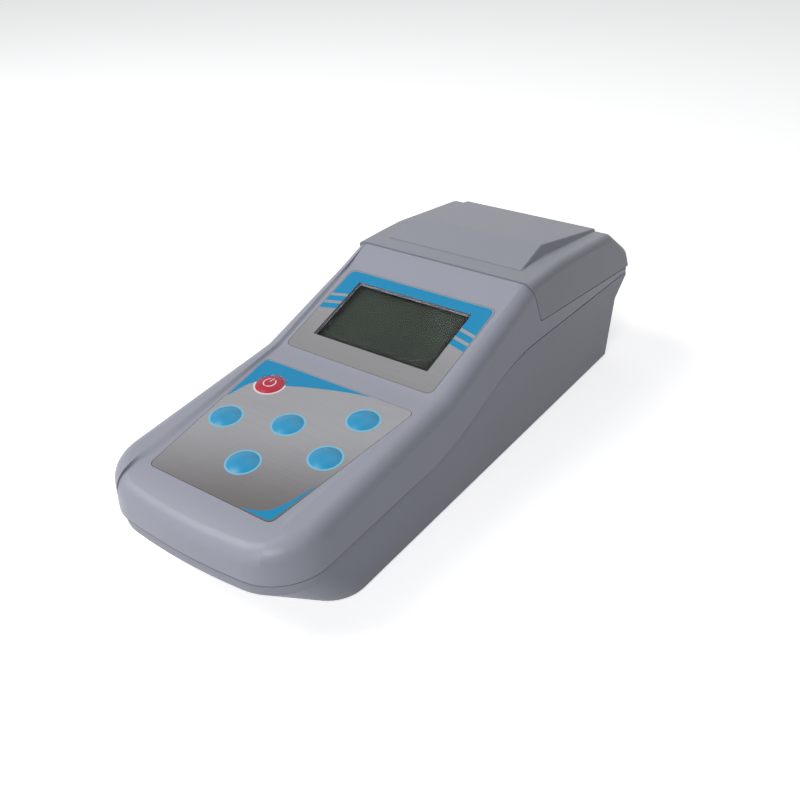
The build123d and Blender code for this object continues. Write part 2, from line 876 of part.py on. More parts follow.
# Seal ring between the deck and the collar
seal_inner = collar_radius + fit_gap
seal_outer = collar_radius + collar_flange
with BuildPart() as well_seal:
    with BuildSketch(Plane.XY.offset(deck_z)):
        with Locations((0, well_y)):
            Circle(seal_outer)
            Circle(seal_inner, mode=Mode.SUBTRACT)
    extrude(amount=seal_thickness)
well_seal.part.label = "well_seal"
export_step(well_seal.part, "parts/well_seal.step")

# Collar at the mouth of the well
with BuildPart() as well_collar:
    with BuildSketch(Plane.XZ.offset(-well_y)) as collar_side:
        with BuildLine():
            Polyline(
                (well_radius, holder_top_z),
                (collar_radius, holder_top_z),
                (collar_radius, deck_z + seal_thickness),
                (seal_outer, deck_z + seal_thickness),
                (seal_outer, deck_z + collar_rise - collar_chamfer),
                (seal_outer - collar_chamfer, deck_z + collar_rise),
                (well_radius + collar_chamfer, deck_z + collar_rise),
                (well_radius, deck_z + collar_rise - collar_chamfer),
                close=True,
            )
        make_face()
    revolve(axis=Axis((0, well_y, 0), (0, 0, 1)))
well_collar.part.label = "well_collar"
export_step(well_collar.part, "parts/well_collar.step")

# Lamp and the two detectors, each in its port with its flange against the block
lamp_axis = Vector(0, well_y, port_z)


def port_plane(direction, distance):
    """Plane facing out of the block, at a distance from the axis of the well."""
    return Plane(origin=lamp_axis + Vector(*direction) * distance, z_dir=direction)


def port_sensor(direction):
    """Domed round sensor with a flange on the outer face of the block."""
    with BuildPart() as sensor:
        with BuildSketch(port_plane(direction, holder_half)):
            Circle(lamp_radius + lamp_flange)
        extrude(amount=lamp_flange_thickness)
        with BuildSketch(port_plane(direction, holder_half)):
            Circle(lamp_radius)
        extrude(amount=-lamp_length)
        circles = sensor.edges().filter_by(GeomType.CIRCLE)
        tip = circles.sort_by(lambda e: (e.center() - lamp_axis).length)[0]
        fillet(tip, lamp_tip_radius)
    return sensor.part


def sensor_plate(direction):
    """Small board behind a sensor."""
    with BuildPart() as plate:
        with BuildSketch(port_plane(direction, holder_half + lamp_flange_thickness)):
            Rectangle(sensor_board, sensor_board)
        extrude(amount=board_thickness)
    return plate.part


sensors = {
    "lamp": (0, -1, 0),
    "transmitted_detector": (0, 1, 0),
    "scatter_detector": (1, 0, 0),
}
for name, direction in sensors.items():
    sensor = port_sensor(direction)
    sensor.label = name
    export_step(sensor, f"parts/{name}.step")
    plate = sensor_plate(direction)
    plate.label = f"{name}_board"
    export_step(plate, f"parts/{name}_board.step")

# Lens between the lamp and the well
with BuildPart() as lamp_lens:
    with BuildSketch(port_plane(sensors["lamp"], holder_half - lamp_length - fit_gap)):
        Circle(lamp_radius)
    extrude(amount=-lens_thickness)
lamp_lens.part.label = "lamp_lens"
export_step(lamp_lens.part, "parts/lamp_lens.step")

# Display label with its window opening
with BuildPart() as display_label:
    with BuildSketch(display_plane(label_thickness)):
        add(display_outline(0))
        Rectangle(2 * lcd_half, lcd_length, mode=Mode.SUBTRACT)
    extrude(amount=label_thickness)
display_label.part.label = "display_label"
export_step(display_label.part, "parts/display_label.step")

# Clear window
with BuildPart() as display_window:
    with BuildSketch(display_plane(label_thickness + window_thickness)):
        Rectangle(2 * (lcd_half + window_lip), lcd_length + 2 * window_lip)
    extrude(amount=window_thickness)
display_window.part.label = "display_window"
export_step(display_window.part, "parts/display_window.step")

# Display glass, its bezel and its board
with BuildPart() as lcd_glass:
    with BuildSketch(display_plane(wall)):
        Rectangle(2 * (lcd_half + lcd_border), lcd_length + 2 * lcd_border)
    extrude(amount=-lcd_thickness)
lcd_glass.part.label = "lcd_glass"
export_step(lcd_glass.part, "parts/lcd_glass.step")

bezel_inner = lcd_border + fit_gap
bezel_outer = bezel_inner + bezel_width
with BuildPart() as lcd_bezel:
    with BuildSketch(display_plane(wall)):
        Rectangle(2 * (lcd_half + bezel_outer), lcd_length + 2 * bezel_outer)
        Rectangle(2 * (lcd_half + bezel_inner), lcd_length + 2 * bezel_inner, mode=Mode.SUBTRACT)
    extrude(amount=-lcd_thickness)
lcd_bezel.part.label = "lcd_bezel"
export_step(lcd_bezel.part, "parts/lcd_bezel.step")

with BuildPart() as lcd_board:
    with BuildSketch(display_plane(lcd_board_depth)):
        Rectangle(2 * (lcd_boss_x + lcd_board_margin), 2 * (lcd_boss_t + lcd_board_margin))
    extrude(amount=-board_thickness)
    with BuildSketch(display_plane(lcd_board_depth)):
        with Locations(lcd_spots):
            Circle(board_screw_radius + fit_gap)
    extrude(amount=-board_thickness, mode=Mode.SUBTRACT)
lcd_board.part.label = "lcd_board"
export_step(lcd_board.part, "parts/lcd_board.step")

# Keypad label with a hole for each key
with BuildPart() as keypad_label:
    with BuildSketch(key_plane(0, 0, label_thickness)):
        add(keypad_outline(0))
        with Locations(key_spots):
            Circle(key_radius + key_gap, mode=Mode.SUBTRACT)
    extrude(amount=label_thickness)
keypad_label.part.label = "keypad_label"
export_step(keypad_label.part, "parts/keypad_label.step")

# Keys: a domed cap, a flange below the shell and a stem into its switch
switch_top = key_board_depth - switch_height
for name, (x, along) in keys.items():
    face = key_plane(x, along, 0)
    section = Plane(origin=face.origin, x_dir=(1, 0, 0), z_dir=-face.y_dir)
    with BuildPart() as key:
        with BuildSketch(section):
            with BuildLine():
                rim = Line((0, key_dome), (0, -switch_top - stem_reach))
                Polyline(
                    rim @ 1,
                    (stem_radius, -switch_top - stem_reach),
                    (stem_radius, -wall - key_flange_thickness),
                    (key_radius + key_flange, -wall - key_flange_thickness),
                    (key_radius + key_flange, -wall),
                    (key_radius, -wall),
                    (key_radius, 0),
                )
                TangentArc((0, key_dome), (key_radius, 0), tangent=(1, 0))
            make_face()
        revolve(axis=Axis(face.origin, face.z_dir))
    key.part.label = name
    export_step(key.part, f"parts/{name}.step")

# Board under the keys
with BuildPart() as key_board:
    with BuildSketch(key_plane(0, 0, key_board_depth)) as board_outline:
        Polygon(
            (-key_board_half, -key_board_start),
            (key_board_half, -key_board_start),
            (key_board_half, -side_key_t - key_radius),
            (key_board_half - taper_in, -key_board_start - key_board_length),
            (-key_board_half + taper_in, -key_board_start - key_board_length),
            (-key_board_half, -side_key_t - key_radius),
            align=None,
        )
        with Locations(board_spots):
            Circle(board_screw_radius + fit_gap, mode=Mode.SUBTRACT)
    extrude(amount=-board_thickness)
key_board.part.label = "key_board"
export_step(key_board.part, "parts/key_board.step")

# Tact switches, with a hole for each stem
with BuildPart() as key_switches:
    with BuildSketch(key_plane(0, 0, key_board_depth)):
        with Locations(key_spots):
            Rectangle(switch_size, switch_size)
    extrude(amount=switch_height)
    with BuildSketch(key_plane(0, 0, switch_top)):
        with Locations(key_spots):
            Circle(stem_radius + stem_clearance)
    extrude(amount=-switch_well, mode=Mode.SUBTRACT)
key_switches.part.label = "key_switches"
export_step(key_switches.part, "parts/key_switches.step")

# Main board on its posts
with BuildPart() as main_board:
    with BuildSketch(Plane.XY.offset(main_board_z)):
        with Locations((0, main_board_y)):
            RectangleRounded(2 * main_board_half, main_board_length, label_corner)
        with Locations(main_spots):
            Circle(board_screw_radius + fit_gap, mode=Mode.SUBTRACT)
    extrude(amount=board_thickness)
main_board.part.label = "main_board"
export_step(main_board.part, "parts/main_board.step")

# Screws of the boards
with BuildPart() as board_screws:
    screw_planes = [
        (display_plane(lcd_board_depth + board_thickness), lcd_spots, -1),
        (key_plane(0, 0, key_board_depth + board_thickness), board_spots, -1),
        (Plane.XY.offset(main_board_z + board_thickness), main_spots, 1),
    ]
    for plane, spots, side in screw_planes:
        with BuildSketch(plane):
            with Locations(spots):
                Circle(board_screw_head)
        extrude(amount=side * board_screw_head_height)
        with BuildSketch(plane):
            with Locations(spots):
                Circle(board_screw_radius - pin_clearance)
        extrude(amount=-side * (board_screw_length - fit_gap))
board_screws.part.label = "board_screws"
export_step(board_screws.part, "parts/board_screws.step")

# Case screws
with BuildPart() as case_screws:
    for place in (front_screw, rear_screw):
        for x, y in mirrored(place[0], place[1]):
            seat_z = place[2] - boss_cap
            with BuildSketch(Plane.XY.offset(seat_z)):
                with Locations((x, y)):
                    Circle(screw_head_radius)
            extrude(amount=-screw_head_height)
            with BuildSketch(Plane.XY.offset(seat_z)):
                with Locations((x, y)):
                    Circle(screw_radius - pin_clearance)
            extrude(amount=boss_cap + screw_grip)
            with BuildSketch(Plane.XY.offset(seat_z - screw_head_height)):
                with Locations((x, y)):
                    RegularPolygon(screw_radius, 6)
            extrude(amount=screw_head_height / 2, mode=Mode.SUBTRACT)
case_screws.part.label = "case_screws"
export_step(case_screws.part, "parts/case_screws.step")

# Battery door with its hinge pins at the rear edge and a finger notch at the front edge
door_length = bay_length + 2 * door_overlap
with BuildPart() as battery_door:
    with BuildSketch(Plane.YZ.offset(-door_half)):
        with BuildLine():
            low_z = foot_stand
            top_z = foot_stand + door_thickness
            Polyline(
                (door_rear_y - door_thickness / 2, low_z),
                (bay_centre_y - door_length / 2, low_z),
                (bay_centre_y - door_length / 2, top_z),
                (door_rear_y - door_thickness / 2, top_z),
            )
            ThreePointArc(
                (door_rear_y - door_thickness / 2, top_z),
                (door_rear_y, door_pivot_z),
                (door_rear_y - door_thickness / 2, low_z),
            )
        make_face()
    extrude(amount=2 * door_half)
    with BuildSketch(Plane.YZ):
        with Locations((door_rear_y - door_thickness / 2, door_pivot_z)):
            Circle(door_pin_radius)
    extrude(amount=door_half + door_pin_length, both=True)
    with BuildSketch(Plane.XY.offset(foot_stand)):
        with Locations((0, bay_centre_y - door_length / 2)):
            SlotOverall(finger_notch, finger_notch / 2)
    extrude(amount=door_thickness / 2, mode=Mode.SUBTRACT)
battery_door.part.label = "battery_door"
export_step(battery_door.part, "parts/battery_door.step")

# Four cells side by side, alternately turned
cell_xs = [(i - (cell_count - 1) / 2) * cell_pitch for i in range(cell_count)]
with BuildPart() as battery_cells:
    for i, x in enumerate(cell_xs):
        facing = 1 if i % 2 else -1
        start_y = bay_centre_y - facing * cell_length / 2
        cell_plane = Plane(origin=(x, start_y, cell_z), z_dir=(0, facing, 0))
        with BuildSketch(cell_plane):
            Circle(cell_radius)
        extrude(amount=cell_length - nub_length)
        with BuildSketch(cell_plane.offset(cell_length - nub_length)):
            Circle(nub_radius)
        extrude(amount=nub_length)
battery_cells.part.label = "battery_cells"
export_step(battery_cells.part, "parts/battery_cells.step")

# Contacts: a plate at each end of each cell, with a spring at the flat end
with BuildPart() as battery_contacts:
    for i, x in enumerate(cell_xs):
        facing = 1 if i % 2 else -1
        for end in (-1, 1):
            outer_y = bay_centre_y + end * bay_length / 2
            plate_plane = Plane(origin=(x, outer_y, cell_z), x_dir=(1, 0, 0), z_dir=(0, -end, 0))
            with BuildSketch(plate_plane):
                Rectangle(2 * (cell_radius - contact_margin), 2 * (cell_radius - contact_margin))
            extrude(amount=plate_thickness)
            contact_radius = spring_radius if end == -facing else nub_radius
            with BuildSketch(plate_plane.offset(plate_thickness)):
                Circle(contact_radius)
                Circle(contact_radius - contact_wall, mode=Mode.SUBTRACT)
            extrude(amount=contact_space - plate_thickness)
battery_contacts.part.label = "battery_contacts"
export_step(battery_contacts.part, "parts/battery_contacts.step")

# Rubber feet
with BuildPart() as rubber_feet:
    with BuildSketch():
        with Locations(pad_spots):
            Circle(pad_radius)
    extrude(amount=foot_stand + pad_recess)
    chamfer(rubber_feet.edges().group_by(Axis.Z)[0], pad_chamfer)
rubber_feet.part.label = "rubber_feet"
export_step(rubber_feet.part, "parts/rubber_feet.step")
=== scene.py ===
import logging
import math
from dataclasses import dataclass, field
from enum import Enum

import bpy
from mathutils import Matrix, Vector
from mathutils.bvhtree import BVHTree


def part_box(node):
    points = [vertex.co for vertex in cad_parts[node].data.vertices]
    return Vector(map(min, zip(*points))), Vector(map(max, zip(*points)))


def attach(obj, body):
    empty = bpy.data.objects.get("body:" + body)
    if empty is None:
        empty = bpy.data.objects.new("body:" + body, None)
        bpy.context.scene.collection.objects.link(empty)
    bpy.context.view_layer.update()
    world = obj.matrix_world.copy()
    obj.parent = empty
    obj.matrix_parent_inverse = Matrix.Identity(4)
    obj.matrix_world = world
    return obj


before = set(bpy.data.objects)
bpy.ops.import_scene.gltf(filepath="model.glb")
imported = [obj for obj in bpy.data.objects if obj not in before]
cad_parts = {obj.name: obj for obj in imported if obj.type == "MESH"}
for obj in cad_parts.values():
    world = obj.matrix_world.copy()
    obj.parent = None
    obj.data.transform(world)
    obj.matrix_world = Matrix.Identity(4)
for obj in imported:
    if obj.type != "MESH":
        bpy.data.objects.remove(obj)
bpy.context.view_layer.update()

MM = 0.001
log = logging.getLogger("turbidity_meter")

# Places of a colour Mix node's sockets
MIX_FACTOR, MIX_FIRST, MIX_SECOND, MIX_RESULT = 0, 6, 7, 2

Colour = tuple[float, float, float, float]
Outline = list[tuple[float, float]]


class Body(Enum):
    """Bodies that new pieces ride on."""

    HOUSING = "housing"
    POWER_KEY = "power_key_cap"


class Slot(Enum):
    """Material slots of the record."""

    UPPER_CASE = "upper_case"
    DISPLAY_FILM = "display_film"
    KEYPAD_FILM = "keypad_film"
    POWER_RED = "power_red"


class Side(Enum):
    """Left and right of the meter, as the sign of X."""

    LEFT = -1
    RIGHT = 1


def shown(red: int, green: int, blue: int) -> Colour:
    """Turn a colour as shown on a display into a scene colour.

    Args:
        red: Red from 0 to 255.
        green: Green from 0 to 255.
        blue: Blue from 0 to 255.

    Returns:
        Linear red, green and blue, and full cover.
    """
    # The standard display curve
    channels = []
    for value in (red, green, blue):
        share = value / 255
        channels.append(share / 12.92 if share <= 0.04045 else ((share + 0.055) / 1.055) ** 2.4)
    return (channels[0], channels[1], channels[2], 1.0)


def eased(share: float) -> float:
    """Ease a share in and out between 0 and 1."""
    return share * share * (3 - 2 * share)


@dataclass
class Bench:
    """Adds and joins shader nodes in one tree."""

    tree: bpy.types.NodeTree

    def add(self, kind: str, **settings: object) -> bpy.types.Node:
        """Add a node.

        Args:
            kind: The node's type name.
            settings: Properties to set on it.

        Returns:
            The new node.
        """
        node = self.tree.nodes.new(kind)
        for name, value in settings.items():
            setattr(node, name, value)
        return node

    def join(self, start: bpy.types.NodeSocket, end: bpy.types.NodeSocket) -> None:
        """Link two sockets."""
        self.tree.links.new(start, end)

    def feed(self, value: object, socket: bpy.types.NodeSocket) -> None:
        """Link a socket into an input, or set a number or colour on it.

        Args:
            value: A socket, a number or a colour.
            socket: The input.
        """
        if isinstance(value, bpy.types.NodeSocket):
            self.join(value, socket)
        else:
            socket.default_value = value

    def maths(self, operation: str, *values: bpy.types.NodeSocket | float) -> bpy.types.NodeSocket:
        """Add a Math node.

        Args:
            operation: The node's operation.
            values: Sockets or numbers, in the order of its inputs.

        Returns:
            The node's output.
        """
        node = self.add("ShaderNodeMath", operation=operation)
        for socket, value in zip(node.inputs, values):
            self.feed(value, socket)
        return node.outputs[0]

    def mix(
        self, factor: object, first: object, second: object, blend: str = "MIX"
    ) -> bpy.types.NodeSocket:
        """Mix two colours.

        Args:
            factor: Share of the second colour, a socket or a number.
            first: A socket or a colour.
            second: A socket or a colour.
            blend: The node's blend type.

        Returns:
            The mixed colour.
        """
        node = self.add("ShaderNodeMix", data_type="RGBA", blend_type=blend)
        self.feed(factor, node.inputs[MIX_FACTOR])
        self.feed(first, node.inputs[MIX_FIRST])
        self.feed(second, node.inputs[MIX_SECOND])
        return node.outputs[MIX_RESULT]

    def step(self, value: bpy.types.NodeSocket, start: float, end: float) -> bpy.types.NodeSocket:
        """Turn a value into a soft step.

        Args:
            value: What is measured.
            start: Where the step is 0.
            end: Where the step is 1.

        Returns:
            The step, from 0 to 1.
        """
        node = self.add("ShaderNodeMapRange", interpolation_type="SMOOTHSTEP")
        node.inputs["From Min"].default_value = start
        node.inputs["From Max"].default_value = end
        self.join(value, node.inputs["Value"])
        return node.outputs["Result"]

    def axes(self, place: bpy.types.NodeSocket) -> bpy.types.NodeOutputs:
        """Split coordinates into X, Y and Z.

        Args:
            place: The coordinates.

        Returns:
            The three outputs.
        """
        node = self.add("ShaderNodeSeparateXYZ")
        self.join(place, node.inputs[0])
        return node.outputs

    def group(
        self, tree: bpy.types.NodeTree, place: bpy.types.NodeSocket, **values: float
    ) -> bpy.types.NodeSocket:
        """Place an effect group.

        Args:
            tree: The group.
            place: The coordinates.
            values: The group's number inputs.

        Returns:
            The group's only output.
        """
        node = self.add("ShaderNodeGroup", node_tree=tree)
        self.join(place, node.inputs["Place"])
        for label, value in values.items():
            node.inputs[label].default_value = value
        return node.outputs[0]


class Effects:
    """Effects that more than one finish uses, each a shader node group."""

    least_roughness = 0.03

    def __init__(self) -> None:
        """Build each group once."""
        self.grain = self.build_grain()
        self.drift = self.build_drift()
        self.handling = self.build_handling()

    def start(
        self, name: str, output: str, **inputs: float
    ) -> tuple[bpy.types.NodeTree, Bench, bpy.types.Node, bpy.types.NodeSocket]:
        """Start a group with coordinates, numbers in and one number out.

        Args:
            name: The group's name.
            output: Name of its output.
            inputs: Its number inputs and their first values.

        Returns:
            The group, its bench, its input node and its output socket.
        """
        group = bpy.data.node_groups.new(name, "ShaderNodeTree")
        group.interface.new_socket("Place", in_out="INPUT", socket_type="NodeSocketVector")
        for label, value in inputs.items():
            socket = group.interface.new_socket(label, in_out="INPUT", socket_type="NodeSocketFloat")
            socket.default_value = value
        group.interface.new_socket(output, in_out="OUTPUT", socket_type="NodeSocketFloat")
        bench = Bench(group)
        entry = bench.add("NodeGroupInput")
        return group, bench, entry, bench.add("NodeGroupOutput").inputs[output]

    def noise(
        self, bench: Bench, entry: bpy.types.Node, scale: str, detail: float, rough: float
    ) -> bpy.types.NodeSocket:
        """Add a noise that reads the group's coordinates.

        Args:
            bench: The group's bench.
            entry: The group's input node.
            scale: Name of the input that sets its scale.
            detail: Its detail.
            rough: Its roughness.

        Returns:
            The noise's factor.
        """
        cloud = bench.add("ShaderNodeTexNoise", noise_dimensions="3D")
        cloud.inputs["Detail"].default_value = detail
        cloud.inputs["Roughness"].default_value = rough
        bench.join(entry.outputs["Place"], cloud.inputs["Vector"])
        bench.join(entry.outputs[scale], cloud.inputs["Scale"])
        return cloud.outputs["Fac"]

    def build_grain(self) -> bpy.types.NodeTree:
        """Build the fine texture of a moulded surface.

        Returns:
            The group, which puts out a bump height.
        """
        group, bench, entry, height = self.start("Mould grain", "Height", Fine=2600.0, Coarse=620.0)
        fine = self.noise(bench, entry, "Fine", detail=3.0, rough=0.6)
        coarse = self.noise(bench, entry, "Coarse", detail=2.0, rough=0.5)
        bench.join(bench.maths("MULTIPLY_ADD", coarse, 0.5, fine), height)
        return group

    def build_drift(self) -> bpy.types.NodeTree:
        """Build the slow change of tone over a surface.

        Returns:
            The group, which puts out a factor about 1.
        """
        group, bench, entry, factor = self.start("Tone drift", "Factor", Scale=14.0, Amount=0.1)
        cloud = self.noise(bench, entry, "Scale", detail=4.0, rough=0.5)
        centred = bench.maths("SUBTRACT", cloud, 0.5)
        bench.join(bench.maths("MULTIPLY_ADD", centred, entry.outputs["Amount"], 1.0), factor)
        return group

    def build_handling(self) -> bpy.types.NodeTree:
        """Build the uneven sheen that handling leaves.

        Returns:
            The group, which puts out a roughness.
        """
        group, bench, entry, roughness = self.start(
            "Handling sheen", "Roughness", Scale=45.0, Level=0.45, Amount=0.1
        )
        cloud = self.noise(bench, entry, "Scale", detail=6.0, rough=0.65)
        centred = bench.maths("SUBTRACT", cloud, 0.5)
        shifted = bench.maths("MULTIPLY_ADD", centred, entry.outputs["Amount"], entry.outputs["Level"])
        held = bench.maths("MAXIMUM", shifted, self.least_roughness)
        bench.join(bench.maths("MINIMUM", held, 1.0), roughness)
        return group


EFFECTS = Effects()


@dataclass(frozen=True)
class Finish:
    """A finish with grain, a drift of tone and uneven sheen."""

    name: str
    colour: Colour
    roughness: float = 0.45
    sheen_change: float = 0.1
    metallic: float = 0.0
    specular: float = 0.5
    coat: float = 0.0
    coat_roughness: float = 0.2
    transmission: float = 0.0
    ior: float = 1.5
    grain_fine: float = 2600.0
    grain_coarse: float = 620.0
    grain_depth: float = 0.012 * MM
    drift_scale: float = 14.0
    drift: float = 0.1

    def paint(self, bench: Bench, place: bpy.types.NodeSocket) -> bpy.types.NodeSocket | Colour:
        """Give the colour before the drift of tone."""
        return self.colour

    def build(self) -> bpy.types.Material:
        """Make the material.

        Returns:
            The finished material.
        """
        material = bpy.data.materials.new(self.name)
        material.use_nodes = True
        bench = Bench(material.node_tree)
        shader = material.node_tree.nodes["Principled BSDF"]
        place = bench.add("ShaderNodeTexCoord").outputs["Object"]
        painted = self.paint(bench, place)
        if self.drift:
            drift = bench.group(EFFECTS.drift, place, Scale=self.drift_scale, Amount=self.drift)
            painted = bench.mix(1.0, painted, drift, "MULTIPLY")
        bench.feed(painted, shader.inputs["Base Color"])
        sheen = bench.group(EFFECTS.handling, place, Level=self.roughness, Amount=self.sheen_change)
        bench.join(sheen, shader.inputs["Roughness"])
        grain = bench.group(EFFECTS.grain, place, Fine=self.grain_fine, Coarse=self.grain_coarse)
        bump = bench.add("ShaderNodeBump")
        bump.inputs["Distance"].default_value = self.grain_depth
        bench.join(grain, bump.inputs["Height"])
        bench.join(bump.outputs["Normal"], shader.inputs["Normal"])
        plain = {
            "Metallic": self.metallic,
            "Specular IOR Level": self.specular,
            "Coat Weight": self.coat,
            "Coat Roughness": self.coat_roughness,
            "Transmission Weight": self.transmission,
            "IOR": self.ior,
        }
        for label, value in plain.items():
            shader.inputs[label].default_value = value
        return material


@dataclass(frozen=True)
class GrooveShadowCase(Finish):
    """Moulded case with a painted shadow line where the shells meet round the nose."""

    shadow: Colour = shown(58, 60, 66)
    line_y: float = -146.6 * MM
    line_z: float = 29.25 * MM
    climb: float = 0.0253
    shade_half_width: float = 0.5 * MM
    softness: float = 0.25 * MM
    fade_from: float = -80.0 * MM
    fade_to: float = -50.0 * MM

    def paint(self, bench: Bench, place: bpy.types.NodeSocket) -> bpy.types.NodeSocket:
        """Draw the painted shadow line along the groove.

        Args:
            bench: The material's bench.
            place: The coordinates.

        Returns:
            The case's colour.
        """
        axes = bench.axes(place)
        level = bench.maths("MULTIPLY_ADD", axes["Y"], -self.climb, axes["Z"])
        above = bench.maths("SUBTRACT", level, self.line_z - self.climb * self.line_y)
        away = bench.maths("ABSOLUTE", above)
        # Painted shade: near the groove between the shells the case takes the shadow colour, which fades
        # out towards the rear.
        near = bench.step(away, self.shade_half_width + self.softness, self.shade_half_width - self.softness)
        ahead = bench.step(axes["Y"], self.fade_to, self.fade_from)
        return bench.mix(bench.maths("MULTIPLY", near, ahead), self.colour, self.shadow)


@dataclass(frozen=True)
class BrushedFilm(Finish):
    """Silver film, brushed across, that darkens towards its front."""

    dark_colour: Colour = shown(108, 104, 103)
    pale_at: float = -0.08
    dark_at: float = -0.14
    turn: float = 0.35
    brush_scale: float = 1100.0
    brush_length: float = 0.02
    brush_detail: float = 3.0
    brush_depth: float = 0.14

    def paint(self, bench: Bench, place: bpy.types.NodeSocket) -> bpy.types.NodeSocket:
        """Blend the two silvers and brush them.

        Args:
            bench: The material's bench.
            place: The coordinates.

        Returns:
            The film's colour.
        """
        axes = bench.axes(place)
        slant = bench.maths("MULTIPLY_ADD", axes["X"], -self.turn, axes["Y"])
        pale = bench.step(slant, self.dark_at, self.pale_at)
        ground = bench.mix(pale, self.dark_colour, self.colour)
        stretch = bench.add("ShaderNodeMapping")
        stretch.inputs["Scale"].default_value = (self.brush_length, 1.0, 1.0)
        bench.join(place, stretch.inputs["Vector"])
        strokes = bench.add("ShaderNodeTexNoise", noise_dimensions="3D")
        strokes.inputs["Scale"].default_value = self.brush_scale
        strokes.inputs["Detail"].default_value = self.brush_detail
        bench.join(stretch.outputs["Vector"], strokes.inputs["Vector"])
        centred = bench.maths("SUBTRACT", strokes.outputs["Fac"], 0.5)
        brushed = bench.maths("MULTIPLY_ADD", centred, self.brush_depth, 1.0)
        return bench.mix(1.0, ground, brushed, "MULTIPLY")


@dataclass(frozen=True)
class DisplayGlass(Finish):
    """Unlit display glass with painted shade round its field, where the window's recess shades it."""

    rim_shadow: Colour = shown(16, 18, 18)
    half_x: float = 27.5 * MM
    low_y: float = 0.0
    top_y: float = 0.0
    softness: float = 0.5 * MM

    def paint(self, bench: Bench, place: bpy.types.NodeSocket) -> bpy.types.NodeSocket:
        """Darken the glass outside its field with painted shade.

        Args:
            bench: The material's bench.
            place: The coordinates.

        Returns:
            The glass's colour.
        """
        axes = bench.axes(place)
        across = bench.maths("ABSOLUTE", axes["X"])
        beside = bench.step(across, self.half_x + self.softness, self.half_x - self.softness)
        below = bench.step(axes["Y"], self.top_y + self.softness, self.top_y - self.softness)
        above = bench.step(axes["Y"], self.low_y - self.softness, self.low_y + self.softness)
        inside = bench.maths("MULTIPLY", bench.maths("MULTIPLY", beside, below), above)
        # Painted shade: outside its field the glass takes the dark shadow colour.
        return bench.mix(inside, self.rim_shadow, self.colour)


@dataclass(frozen=True)
class BoardFinish(Finish):
    """Green board with a faint grid of tracks."""

    track: Colour = shown(58, 132, 84)
    track_scale: float = 260.0
    track_width: float = 0.03

    def paint(self, bench: Bench, place: bpy.types.NodeSocket) -> bpy.types.NodeSocket:
        """Draw the tracks over the green.

        Args:
            bench: The material's bench.
            place: The coordinates.

        Returns:
            The board's colour.
        """
        grid = bench.add("ShaderNodeTexBrick")
        grid.inputs["Scale"].default_value = self.track_scale
        grid.inputs["Mortar Size"].default_value = self.track_width
        grid.inputs["Color1"].default_value = self.colour
        grid.inputs["Color2"].default_value = self.colour
        grid.inputs["Mortar"].default_value = self.track
        bench.join(place, grid.inputs["Vector"])
        return grid.outputs["Color"]


@dataclass(frozen=True)
class CellJacket(Finish):
    """Printed jacket of a round cell, with bare metal at both ends."""

    metal: Colour = shown(176, 176, 178)
    stripe: Colour = shown(176, 128, 60)
    middle_y: float = 0.0
    half_length: float = 23.4 * MM
    stripe_from: float = 14.5 * MM
    softness: float = 0.15 * MM

    def paint(self, bench: Bench, place: bpy.types.NodeSocket) -> bpy.types.NodeSocket:
        """Lay the stripe and the bare ends along the cells.

        Args:
            bench: The material's bench.
            place: The coordinates.

        Returns:
            The cells' colour.
        """
        along = bench.maths("SUBTRACT", bench.axes(place)["Y"], self.middle_y)
        striped = bench.step(along, self.stripe_from - self.softness, self.stripe_from + self.softness)
        jacket = bench.mix(striped, self.colour, self.stripe)
        reach = bench.maths("ABSOLUTE", along)
        bare = bench.step(reach, self.half_length - self.softness, self.half_length + self.softness)
        return bench.mix(bare, jacket, self.metal)


@dataclass(frozen=True)
class Face:
    """A flat face of the housing that rises towards the rear."""

    origin: Vector
    slope: float

    def matrix(self, x: float = 0.0, along: float = 0.0) -> Matrix:
        """Give the place of a point on the face.

        Args:
            x: Distance across, in metres.
            along: Distance up the slope, in metres.

        Returns:
            The matrix from the face's own frame, whose Z points out of the face.
        """
        tilt = Matrix.Rotation(self.slope, 4, "X")
        return Matrix.Translation(self.origin) @ tilt @ Matrix.Translation((x, along, 0))


